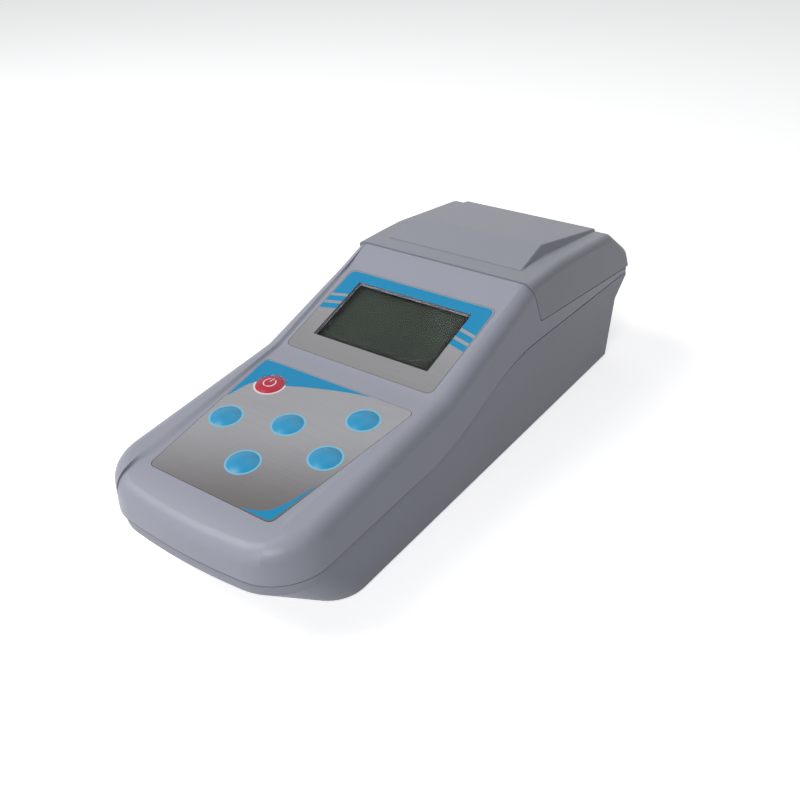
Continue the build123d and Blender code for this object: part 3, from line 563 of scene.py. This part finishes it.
class Workshop:
    """The few steps by which every new piece is made."""

    curve_order = 3
    curve_steps = 10

    @staticmethod
    def clear() -> None:
        """Leave edit mode and select nothing."""
        if bpy.context.object and bpy.context.object.mode != "OBJECT":
            bpy.ops.object.mode_set(mode="OBJECT")
        bpy.ops.object.select_all(action="DESELECT")

    @staticmethod
    def pick(piece: bpy.types.Object) -> None:
        """Select one piece alone and make it active.

        Args:
            piece: The piece.
        """
        Workshop.clear()
        piece.select_set(True)
        bpy.context.view_layer.objects.active = piece

    @staticmethod
    def settle(piece: bpy.types.Object, matrix: Matrix) -> None:
        """Put a piece's place into its mesh.

        Args:
            piece: A mesh object.
            matrix: Where its own frame goes.
        """
        piece.data.transform(matrix @ piece.matrix_basis)
        piece.matrix_basis = Matrix.Identity(4)

    @staticmethod
    def printed(name: str, points: Outline, thickness: float, curved: bool = False) -> bpy.types.Object:
        """Make a printed shape from its closed outline.

        Args:
            name: The piece's name.
            points: The outline, in metres on the face.
            thickness: Thickness of the print in metres.
            curved: Whether the outline is one smooth curve led by its points.

        Returns:
            The mesh object, in the face's own frame.
        """
        curve = bpy.data.curves.new(name, "CURVE")
        curve.dimensions = "2D"
        curve.fill_mode = "BOTH"
        curve.extrude = thickness / 2
        spline = curve.splines.new("NURBS" if curved else "POLY")
        spline.points.add(len(points) - 1)
        for point, (x, y) in zip(spline.points, points):
            point.co = (x, y, 0, 1)
        spline.use_cyclic_u = True
        if curved:
            spline.order_u = Workshop.curve_order
            spline.resolution_u = Workshop.curve_steps
        piece = bpy.data.objects.new(name, curve)
        bpy.context.scene.collection.objects.link(piece)
        Workshop.pick(piece)
        bpy.ops.object.convert(target="MESH")
        piece = bpy.context.object
        piece.name = name
        piece.data.transform(Matrix.Translation((0, 0, thickness / 2)))
        return piece

    @staticmethod
    def dress(piece: bpy.types.Object, material: bpy.types.Material, body: Body, slot: Slot) -> None:
        """Give a new piece its material and body.

        Args:
            piece: The piece.
            material: Its material.
            body: The body it rides on.
            slot: Not used.
        """
        piece.data.materials.clear()
        piece.data.materials.append(material)
        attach(piece, body.value)
        log.info("%s made", piece.name)

    @staticmethod
    def repaint(material: bpy.types.Material, *nodes: str) -> None:
        """Assign a material to carried-over nodes.

        Args:
            material: The material.
            nodes: Names of the nodes.
        """
        for node in nodes:
            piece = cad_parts[node]
            piece.data.materials.clear()
            piece.data.materials.append(material)
            log.info("%s finished", node)


@dataclass
class RailRamps:
    """Soft ramps from the display and keypad faces up to the raised side rails."""

    front: tuple[float, float] = (36.5 * MM, -149.0 * MM)
    bend: tuple[float, float] = (42.0 * MM, -43.2 * MM)
    rear: tuple[float, float] = (44.0 * MM, 27.6 * MM)
    start_y: float = -136.0 * MM
    end_y: float = 14.0 * MM
    taper: float = 14.0 * MM
    thin: float = 0.1 * MM
    narrow: float = 1.4 * MM
    wide: float = 4.2 * MM
    widest_y: float = -126.0 * MM
    narrow_y: float = -60.0 * MM
    rows: int = 120
    columns: int = 9
    lip: float = 0.3 * MM
    depth: float = 0.25 * MM
    proud: float = 0.01 * MM
    above: float = 1.0
    smooth_angle: float = math.radians(35)

    def rail_x(self, y: float) -> float:
        """Find the inner edge of a rail at a station.

        Args:
            y: The station.

        Returns:
            Its distance from the middle.
        """
        low, high = (self.front, self.bend) if y < self.bend[1] else (self.bend, self.rear)
        return low[0] + (high[0] - low[0]) * (y - low[1]) / (high[1] - low[1])

    def width(self, y: float) -> float:
        """Find how wide a ramp is at a station.

        Args:
            y: The station.

        Returns:
            Its width in metres.
        """
        share = min(max((y - self.narrow_y) / (self.widest_y - self.narrow_y), 0.0), 1.0)
        full = self.narrow + (self.wide - self.narrow) * share
        end = min(y - self.start_y, self.end_y - y, self.taper) / self.taper
        return self.thin + (full - self.thin) * eased(end)

    def build(self, side: Side) -> bpy.types.Object:
        """Lay one ramp on the shell.

        Args:
            side: The side it lies on.

        Returns:
            The ramp.
        """
        shell = BVHTree.FromObject(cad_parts["upper_shell"], bpy.context.evaluated_depsgraph_get())
        Workshop.clear()
        bpy.ops.mesh.primitive_grid_add(x_subdivisions=self.columns, y_subdivisions=self.rows, size=1.0)
        ramp = bpy.context.object
        ramp.name = f"rail_ramp_{side.name.lower()}"
        down = Vector((0, 0, -1))
        for vertex in ramp.data.vertices:
            y = self.start_y + (vertex.co.y + 0.5) * (self.end_y - self.start_y)
            share = vertex.co.x * side.value + 0.5
            edge = self.rail_x(y)
            foot = edge - self.width(y)
            low = shell.ray_cast(Vector((side.value * foot, y, self.above)), down)[0].z
            high = shell.ray_cast(Vector((side.value * (edge + self.lip), y, self.above)), down)[0].z
            vertex.co.x = side.value * (foot + (edge + self.lip - foot) * share)
            vertex.co.y = y
            vertex.co.z = low + (high - low) * eased(share) + self.proud
        Workshop.pick(ramp)
        wall = ramp.modifiers.new("depth", "SOLIDIFY")
        wall.thickness = self.depth
        wall.offset = -1
        bpy.ops.object.modifier_apply(modifier=wall.name)
        bpy.ops.object.shade_smooth_by_angle(angle=self.smooth_angle)
        return ramp


@dataclass
class Casing:
    """Shells, lid and what holds them together."""

    ramps: RailRamps = field(default_factory=RailRamps)
    upper: Finish = GrooveShadowCase(
        "Moulded upper case", shown(151, 154, 166), roughness=0.4, specular=0.35, drift=0.06
    )
    lower: Finish = GrooveShadowCase(
        "Moulded lower case", shown(150, 153, 164), roughness=0.48, specular=0.3, drift=0.07
    )
    lid: Finish = Finish("Moulded lid", shown(146, 149, 158), roughness=0.44, specular=0.3, drift=0.06)
    steel: Finish = Finish("Plain steel", shown(172, 172, 174), roughness=0.32, metallic=1.0, drift=0.2)
    rubber: Finish = Finish("Soft black rubber", shown(38, 38, 40), roughness=0.8, grain_depth=0.03 * MM)

    def dress(self) -> None:
        """Finish the mouldings, the ramps, the pin, the screws and the feet."""
        upper = self.upper.build()
        for side in Side:
            Workshop.dress(self.ramps.build(side), upper, Body.HOUSING, Slot.UPPER_CASE)
        Workshop.repaint(upper, "upper_shell")
        Workshop.repaint(self.lower.build(), "lower_shell", "battery_door")
        Workshop.repaint(self.lid.build(), "lid")
        steel = self.steel.build()
        Workshop.repaint(steel, "lid_hinge_pin", "case_screws", "board_screws", "battery_contacts")
        Workshop.repaint(self.rubber.build(), "rubber_feet", "well_seal")


BLUE_PRINT = Finish(
    "Blue print", shown(8, 136, 184), roughness=0.45, specular=0.25, grain_depth=0.002 * MM
)


@dataclass
class Display:
    """Window, film, glass and print of the display."""

    slope: float = math.radians(18.8)
    window_half: float = 31.0 * MM
    window_length: float = 37.4 * MM
    window_depth: float = 1.1 * MM
    film_over: float = 6.6 * MM
    film_half: float = 39.9 * MM
    film_corner: float = 3.4 * MM
    print_edge: float = 0.5 * MM
    print_thickness: float = 0.04 * MM
    band_drop: float = 11.0 * MM
    band_slant: float = 2.0 * MM
    stripe_height: float = 3.4 * MM
    stripe_gap: float = 1.9 * MM
    square_corner: float = 0.4 * MM
    corner_steps: int = 8
    # Width of the painted shade round the display glass's field.
    glass_shade_band: float = 4.6 * MM
    film: BrushedFilm = BrushedFilm(
        "Display film", shown(150, 150, 153), roughness=0.42, specular=0.35, metallic=0.15,
        grain_depth=0.002 * MM, dark_colour=shown(134, 133, 134), pale_at=0.0, dark_at=-0.045, turn=0.0,
    )
    window: Finish = Finish(
        "Clear window", (0.97, 0.99, 0.98, 1.0), roughness=0.07, sheen_change=0.03, transmission=1.0,
        specular=0.3, ior=1.12, drift=0.0, grain_depth=0.0005 * MM,
    )

    def face(self) -> Face:
        """Find the display face from the window's place.

        Returns:
            The face, centred on the window.
        """
        low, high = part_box("display_window")
        out = Vector((0, -math.sin(self.slope), math.cos(self.slope)))
        centre = (Vector(low) + Vector(high)) / 2 + out * self.window_depth
        return Face(Vector((0, centre.y, centre.z)), self.slope)

    def rounded(self, points: Outline, radius: float) -> Outline:
        """Round the corners of a closed outline.

        Args:
            points: Corners in order.
            radius: Distance from a corner at which its curve starts.

        Returns:
            The rounded outline.
        """
        made = []
        for index, corner in enumerate(points):
            here = Vector(corner)
            before, after = Vector(points[index - 1]), Vector(points[(index + 1) % len(points)])
            reach = min(radius, (before - here).length / 2, (after - here).length / 2)
            start = here + (before - here).normalized() * reach
            end = here + (after - here).normalized() * reach
            for step in range(self.corner_steps + 1):
                share = step / self.corner_steps
                made.append(tuple(start.lerp(here, share).lerp(here.lerp(end, share), share)))
        return made

    def band(self) -> bpy.types.Object:
        """Make the printed band over the window, with two round outer corners.

        Returns:
            The band, in the face's own frame.
        """
        window_top = self.window_length / 2
        top = window_top + self.film_over - self.print_edge
        edge = self.film_half - self.print_edge
        drop = window_top - self.band_drop
        inner = self.window_half
        notch = (inner, drop + self.band_slant)
        right = [(edge, top), (edge, drop), notch, (inner, window_top)]
        corners = right + [(-x, y) for x, y in reversed(right)]
        smooth = self.rounded(corners, self.film_corner)
        square = self.rounded(corners, self.square_corner)
        each = self.corner_steps + 1
        points = smooth[:each] + square[each:-each] + smooth[-each:]
        return Workshop.printed("display_band", points, self.print_thickness)

    def stripe(self, side: Side, row: int) -> bpy.types.Object:
        """Make one short stripe beside the window.

        Args:
            side: The side it lies on.
            row: 0 for the upper one, 1 for the lower one.

        Returns:
            The stripe, in the face's own frame.
        """
        inner = side.value * self.window_half
        outer = side.value * (self.film_half - self.print_edge)
        pitch = self.stripe_height + self.stripe_gap
        high = self.window_length / 2 - self.band_drop - self.stripe_gap - row * pitch
        low = high - self.stripe_height
        beside = [(inner, high + self.band_slant), (inner, low + self.band_slant)]
        points = self.rounded(beside + [(outer, low), (outer, high)], self.square_corner)
        name = f"display_stripe_{side.name.lower()}_{row + 1}"
        return Workshop.printed(name, points, self.print_thickness)

    def build(self) -> list[bpy.types.Object]:
        """Make the whole print of the display.

        Returns:
            The printed pieces, in place.
        """
        pieces = [self.band()] + [self.stripe(side, row) for side in Side for row in (0, 1)]
        for piece in pieces:
            Workshop.settle(piece, self.face().matrix())
        return pieces

    def dress(self, pieces: list[bpy.types.Object], blue: bpy.types.Material) -> None:
        """Finish the film, the window, the glass and the print.

        Args:
            pieces: The printed pieces.
            blue: Their blue.
        """
        for piece in pieces:
            Workshop.dress(piece, blue, Body.HOUSING, Slot.DISPLAY_FILM)
        Workshop.repaint(self.film.build(), "display_label")
        Workshop.repaint(self.window.build(), "display_window")
        low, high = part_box("lcd_glass")
        glass = DisplayGlass(
            "Unlit display", shown(36, 43, 36), roughness=0.45, sheen_change=0.05, specular=0.1,
            drift=0.3, drift_scale=35.0, grain_depth=0.001 * MM,
            low_y=low[1] + self.glass_shade_band, top_y=high[1] - self.glass_shade_band,
        )
        Workshop.repaint(glass.build(), "lcd_glass")


@dataclass
class Keypad:
    """Film, keys, rings and print of the keypad."""

    slope: float = math.radians(6.17)
    length: float = 77.6 * MM
    half_top: float = 39.9 * MM
    half_low: float = 31.2 * MM
    edge: float = 0.5 * MM
    key_radius: float = 6.4 * MM
    key_dome: float = 1.3 * MM
    ring_inner: float = 6.42 * MM
    ring_width: float = 0.85 * MM
    ring_steps: int = 72
    print_thickness: float = 0.04 * MM
    mark_radius: float = 2.7 * MM
    mark_width: float = 0.5 * MM
    mark_gap: float = math.radians(28)
    mark_steps: int = 40
    bar_heights: tuple[float, ...] = (0.15, 0.5, 0.85, 1.2)
    power_key: tuple[float, float] = (-24.9 * MM, -14.5 * MM)
    blue_keys: tuple[tuple[float, float], ...] = (
        (24.9 * MM, -14.5 * MM),
        (-26.1 * MM, -40.3 * MM),
        (26.1 * MM, -40.3 * MM),
        (0.0, -31.7 * MM),
        (0.0, -58.2 * MM),
    )
    film: BrushedFilm = BrushedFilm(
        "Keypad film", shown(156, 156, 160), roughness=0.42, specular=0.35, metallic=0.15,
        grain_depth=0.002 * MM, dark_colour=shown(104, 100, 99), pale_at=-0.085, dark_at=-0.14, turn=0.4,
    )
    key_blue: Finish = Finish(
        "Domed blue key", shown(14, 142, 188), roughness=0.34, specular=0.35, coat=0.12,
        coat_roughness=0.25, drift_scale=160.0, grain_depth=0.003 * MM,
    )
    key_red: Finish = Finish(
        "Domed red key", shown(178, 16, 52), roughness=0.36, specular=0.3, coat=0.1, coat_roughness=0.25,
        drift_scale=160.0, grain_depth=0.003 * MM,
    )
    pale_print: Finish = Finish(
        "Pale blue print", shown(118, 184, 212), roughness=0.4, grain_depth=0.002 * MM
    )
    white_print: Finish = Finish(
        "White print", shown(226, 216, 222), roughness=0.42, grain_depth=0.002 * MM
    )

    def face(self) -> Face:
        """Find the keypad face from its film's place.

        Returns:
            The face, with its origin at the middle of the film's rear edge.
        """
        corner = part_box("keypad_label")[1]
        return Face(Vector((0, corner[1], corner[2])), self.slope)

    def sweep(self) -> bpy.types.Object:
        """Make the sweep round the power key, thin at both ends.

        Returns:
            The sweep, in the face's own frame.
        """
        top = -self.edge
        left = -self.half_top + self.edge
        outer = [
            (left + 3.3 * MM, -29.5 * MM),
            (left + 1.8 * MM, -16.0 * MM),
            (left + 0.4 * MM, -4.5 * MM),
            (left + 0.4 * MM, top - 0.6 * MM),
            (left + 3.0 * MM, top),
            (left + 12.0 * MM, top),
            (0.0, top),
            (18.0 * MM, top),
        ]
        inner = [
            (18.0 * MM, -0.7 * MM),
            (10.0 * MM, -2.0 * MM),
            (0.0, -5.0 * MM),
            (-10.0 * MM, -8.4 * MM),
            (-18.0 * MM, -12.0 * MM),
            (-24.0 * MM, -13.0 * MM),
            (-30.0 * MM, -14.0 * MM),
            (-34.0 * MM, -19.0 * MM),
            (left + 3.8 * MM, -29.5 * MM),
        ]
        return Workshop.printed("keypad_sweep", outer + inner, self.print_thickness, curved=True)

    def swoosh(self) -> bpy.types.Object:
        """Make the small sweep at the front right corner.

        Returns:
            The sweep, in the face's own frame.
        """
        low = -self.length + self.edge
        right = self.half_low - self.edge
        outer = [
            (right - 14.2 * MM, low),
            (right - 5.0 * MM, low),
            (right - 1.6 * MM, low),
            (right, low + 1.6 * MM),
            (right + 0.6 * MM, low + 7.0 * MM),
            (right + 2.5 * MM, low + 23.0 * MM),
        ]
        inner = [
            (right + 2.2 * MM, low + 23.0 * MM),
            (right - 1.2 * MM, low + 9.0 * MM),
            (right - 4.6 * MM, low + 3.4 * MM),
            (right - 9.0 * MM, low + 1.2 * MM),
            (right - 14.2 * MM, low + 0.3 * MM),
        ]
        return Workshop.printed("keypad_swoosh", outer + inner, self.print_thickness, curved=True)

    def ring(self, name: str) -> bpy.types.Object:
        """Make a flat printed ring for a key.

        Args:
            name: The ring's name.

        Returns:
            The ring, in the face's own frame.
        """
        Workshop.clear()
        bpy.ops.mesh.primitive_circle_add(
            vertices=self.ring_steps, radius=self.ring_inner, fill_type="NOTHING"
        )
        ring = bpy.context.object
        ring.name = name
        grow = 1 + self.ring_width / self.ring_inner
        bpy.ops.object.mode_set(mode="EDIT")
        bpy.ops.mesh.select_all(action="SELECT")
        bpy.ops.mesh.extrude_region_move()
        bpy.ops.transform.resize(value=(grow, grow, 1))
        bpy.ops.mesh.select_all(action="SELECT")
        bpy.ops.mesh.extrude_region_move(TRANSFORM_OT_translate={"value": (0, 0, self.print_thickness)})
        bpy.ops.mesh.select_all(action="SELECT")
        bpy.ops.mesh.normals_make_consistent(inside=False)
        bpy.ops.object.mode_set(mode="OBJECT")
        return ring

    def power_mark(self) -> list[bpy.types.Object]:
        """Make the plain power sign and lay it over the key's dome.

        Returns:
            The open ring and the bar, in the face's own frame.
        """
        half = self.mark_width / 2
        start = math.pi / 2 + self.mark_gap
        sweep = math.tau - 2 * self.mark_gap
        turns = [start + sweep * step / self.mark_steps for step in range(self.mark_steps + 1)]
        far, near = self.mark_radius + half, self.mark_radius - half
        outer = [(far * math.cos(turn), far * math.sin(turn)) for turn in turns]
        inner = [(near * math.cos(turn), near * math.sin(turn)) for turn in turns]
        heights = [self.mark_radius * share for share in self.bar_heights]
        bar = [(half, y) for y in heights] + [(-half, y) for y in reversed(heights)]
        pieces = [
            Workshop.printed("power_mark_ring", outer + inner[::-1], self.print_thickness),
            Workshop.printed("power_mark_bar", bar, self.print_thickness),
        ]
        dome = (self.key_radius**2 + self.key_dome**2) / (2 * self.key_dome)
        for piece in pieces:
            for vertex in piece.data.vertices:
                fall = dome - math.sqrt(dome**2 - vertex.co.x**2 - vertex.co.y**2)
                vertex.co.z += self.key_dome - fall
        return pieces

    def build(self) -> list[bpy.types.Object]:
        """Make the two printed sweeps.

        Returns:
            The sweeps, in place.
        """
        pieces = [self.sweep(), self.swoosh()]
        for piece in pieces:
            Workshop.settle(piece, self.face().matrix())
        return pieces

    def dress(self, sweeps: list[bpy.types.Object], blue: bpy.types.Material) -> None:
        """Finish the film, the keys, their rings and the print.

        Args:
            sweeps: The printed sweeps.
            blue: Their blue.
        """
        for piece in sweeps:
            Workshop.dress(piece, blue, Body.HOUSING, Slot.KEYPAD_FILM)
        Workshop.repaint(self.film.build(), "keypad_label")
        Workshop.repaint(self.key_red.build(), "power_key")
        blue_names = ("right_upper", "left_lower", "right_lower", "centre_upper", "centre_lower")
        Workshop.repaint(self.key_blue.build(), *(f"key_{name}" for name in blue_names))
        white = self.white_print.build()
        pale = self.pale_print.build()
        face = self.face()
        spots = [(self.power_key, white)] + [(spot, pale) for spot in self.blue_keys]
        for index, (spot, material) in enumerate(spots):
            ring = self.ring(f"key_ring_{index + 1}")
            Workshop.settle(ring, face.matrix(*spot))
            Workshop.dress(ring, material, Body.HOUSING, Slot.KEYPAD_FILM)
        for piece in self.power_mark():
            Workshop.settle(piece, face.matrix(*self.power_key))
            Workshop.dress(piece, white, Body.POWER_KEY, Slot.POWER_RED)


@dataclass
class Inside:
    """Well, optics, boards and cells inside the housing."""

    black: Finish = Finish("Matt black plastic", shown(32, 32, 35), roughness=0.6, grain_depth=0.02 * MM)
    clear: Finish = Finish(
        "Clear optical plastic", (0.95, 0.97, 1.0, 1.0), roughness=0.06, sheen_change=0.02,
        transmission=1.0, drift=0.0, grain_depth=0.0005 * MM,
    )
    board: BoardFinish = BoardFinish(
        "Green board", shown(26, 96, 56), roughness=0.4, coat=0.3, grain_depth=0.006 * MM
    )

    def dress(self) -> None:
        """Finish the inner pieces."""
        Workshop.repaint(self.black.build(), "cell_holder", "well_collar", "lcd_bezel", "key_switches")
        clear = self.clear.build()
        Workshop.repaint(clear, "lamp", "lamp_lens", "transmitted_detector", "scatter_detector")
        board = self.board.build()
        Workshop.repaint(board, "main_board", "key_board", "lcd_board")
        Workshop.repaint(board, "lamp_board", "transmitted_detector_board", "scatter_detector_board")
        low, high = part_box("battery_cells")
        cells = CellJacket(
            "Cell jacket", shown(46, 48, 54), roughness=0.3, metallic=0.5, coat=0.2,
            middle_y=(low[1] + high[1]) / 2,
        )
        Workshop.repaint(cells.build(), "battery_cells")


@dataclass(frozen=True)
class SoftLamp:
    """A soft square white lamp."""

    name: str
    place: tuple[float, float, float]
    size: float
    power: float

    def build(self, aim: Vector) -> None:
        """Add the lamp and turn it.

        Args:
            aim: The point that it faces, in metres.
        """
        data = bpy.data.lights.new(self.name, "AREA")
        data.energy = self.power
        data.size = self.size
        lamp = bpy.data.objects.new(self.name, data)
        bpy.context.scene.collection.objects.link(lamp)
        lamp.location = self.place
        lamp.rotation_euler = (aim - Vector(self.place)).to_track_quat("-Z", "Y").to_euler()


@dataclass
class Studio:
    """Floor, lamps, world and camera."""

    camera_place: tuple[float, float, float] = (206.87 * MM, -299.36 * MM, 245.61 * MM)
    yaw: float = math.radians(35.2645)
    pitch: float = math.radians(31.8236)
    roll: float = math.radians(0.5364)
    focal_pixels: float = 881.38
    frame_pixels: float = 800.0
    sensor: float = 36.0
    near: float = 0.01
    aim: tuple[float, float, float] = (0.0, 0.0, 0.05)
    lamps: tuple[SoftLamp, ...] = (
        SoftLamp("key_lamp", (-0.6, -0.5, 0.95), size=0.6, power=7.8),
        SoftLamp("front_lamp", (0.3, -1.05, 0.55), size=0.4, power=6.2),
        SoftLamp("top_lamp", (-0.2, 0.5, 1.1), size=0.8, power=2.0),
    )
    world_colour: Colour = (0.92, 0.95, 1.0, 1.0)
    world_strength: float = 0.125
    floor_size: float = 8.0
    floor_drop: float = 0.1 * MM
    floor_colour: Colour = (0.42, 0.42, 0.43, 1.0)
    floor_roughness: float = 0.9
    floor_shown: Colour = (0.8, 0.8, 0.81, 1.0)
    floor_glow: float = 0.62

    def camera(self) -> None:
        """Stand the camera where the photograph was taken from."""
        data = bpy.data.cameras.new("camera")
        data.sensor_width = self.sensor
        data.lens = self.focal_pixels / self.frame_pixels * self.sensor
        data.clip_start = self.near
        camera = bpy.data.objects.new("camera", data)
        bpy.context.scene.collection.objects.link(camera)
        flat = math.cos(self.pitch)
        ahead = Vector((-math.sin(self.yaw) * flat, math.cos(self.yaw) * flat, -math.sin(self.pitch)))
        across = Vector((math.cos(self.yaw), math.sin(self.yaw), 0))
        down = ahead.cross(across)
        right = across * math.cos(self.roll) + down * math.sin(self.roll)
        lower = down * math.cos(self.roll) - across * math.sin(self.roll)
        axes = Matrix((right, -lower, -ahead)).transposed()
        camera.matrix_world = Matrix.Translation(self.camera_place) @ axes.to_4x4()
        bpy.context.scene.camera = camera

    def seen(self, bench: Bench) -> bpy.types.NodeSocket:
        """Find what is seen straight, in a reflection or through glass.

        Args:
            bench: The bench of the material or the world.

        Returns:
            1 where it is seen so, else 0.
        """
        path = bench.add("ShaderNodeLightPath")
        straight = bench.maths("MAXIMUM", path.outputs["Is Camera Ray"], path.outputs["Is Glossy Ray"])
        return bench.maths("MAXIMUM", straight, path.outputs["Is Transmission Ray"])

    def world(self) -> None:
        """Light the meter evenly and show white behind it."""
        world = bpy.data.worlds.new("studio")
        bpy.context.scene.world = world
        world.use_nodes = True
        world.node_tree.nodes.clear()
        bench = Bench(world.node_tree)
        light = bench.add("ShaderNodeBackground")
        light.inputs["Color"].default_value = self.world_colour
        light.inputs["Strength"].default_value = self.world_strength
        white = bench.add("ShaderNodeBackground")
        white.inputs["Color"].default_value = (1.0, 1.0, 1.0, 1.0)
        mix = bench.add("ShaderNodeMixShader")
        bench.join(self.seen(bench), mix.inputs[0])
        bench.join(light.outputs[0], mix.inputs[1])
        bench.join(white.outputs[0], mix.inputs[2])
        bench.join(mix.outputs[0], bench.add("ShaderNodeOutputWorld").inputs[0])

    def floor(self) -> None:
        """Lay the pale floor, which keeps the meter's shadow."""
        Workshop.clear()
        bpy.ops.mesh.primitive_plane_add(size=self.floor_size, location=(0, 0, -self.floor_drop))
        floor = bpy.context.object
        floor.name = "studio_floor"
        material = bpy.data.materials.new("Pale floor")
        material.use_nodes = True
        bench = Bench(material.node_tree)
        plain = material.node_tree.nodes["Principled BSDF"]
        plain.inputs["Base Color"].default_value = self.floor_colour
        plain.inputs["Roughness"].default_value = self.floor_roughness
        pale = bench.add("ShaderNodeBsdfDiffuse")
        pale.inputs["Color"].default_value = self.floor_shown
        glow = bench.add("ShaderNodeEmission")
        glow.inputs["Strength"].default_value = self.floor_glow
        both = bench.add("ShaderNodeAddShader")
        mix = bench.add("ShaderNodeMixShader")
        bench.join(pale.outputs[0], both.inputs[0])
        bench.join(glow.outputs[0], both.inputs[1])
        bench.join(self.seen(bench), mix.inputs[0])
        bench.join(plain.outputs[0], mix.inputs[1])
        bench.join(both.outputs[0], mix.inputs[2])
        bench.join(mix.outputs[0], material.node_tree.nodes["Material Output"].inputs["Surface"])
        floor.data.materials.append(material)

    def build(self) -> None:
        """Set up the whole studio."""
        self.camera()
        self.world()
        self.floor()
        for lamp in self.lamps:
            lamp.build(Vector(self.aim))
        bpy.context.scene.view_settings.view_transform = "Standard"
        log.info("studio set up")


def main() -> None:
    """Build and dress the meter in the studio."""
    logging.basicConfig(level=logging.INFO)
    Studio().build()
    blue = BLUE_PRINT.build()
    Casing().dress()
    display = Display()
    display.dress(display.build(), blue)
    keypad = Keypad()
    keypad.dress(keypad.build(), blue)
    Inside().dress()
    log.info("sizes written")


if __name__ == "__main__":
    main()
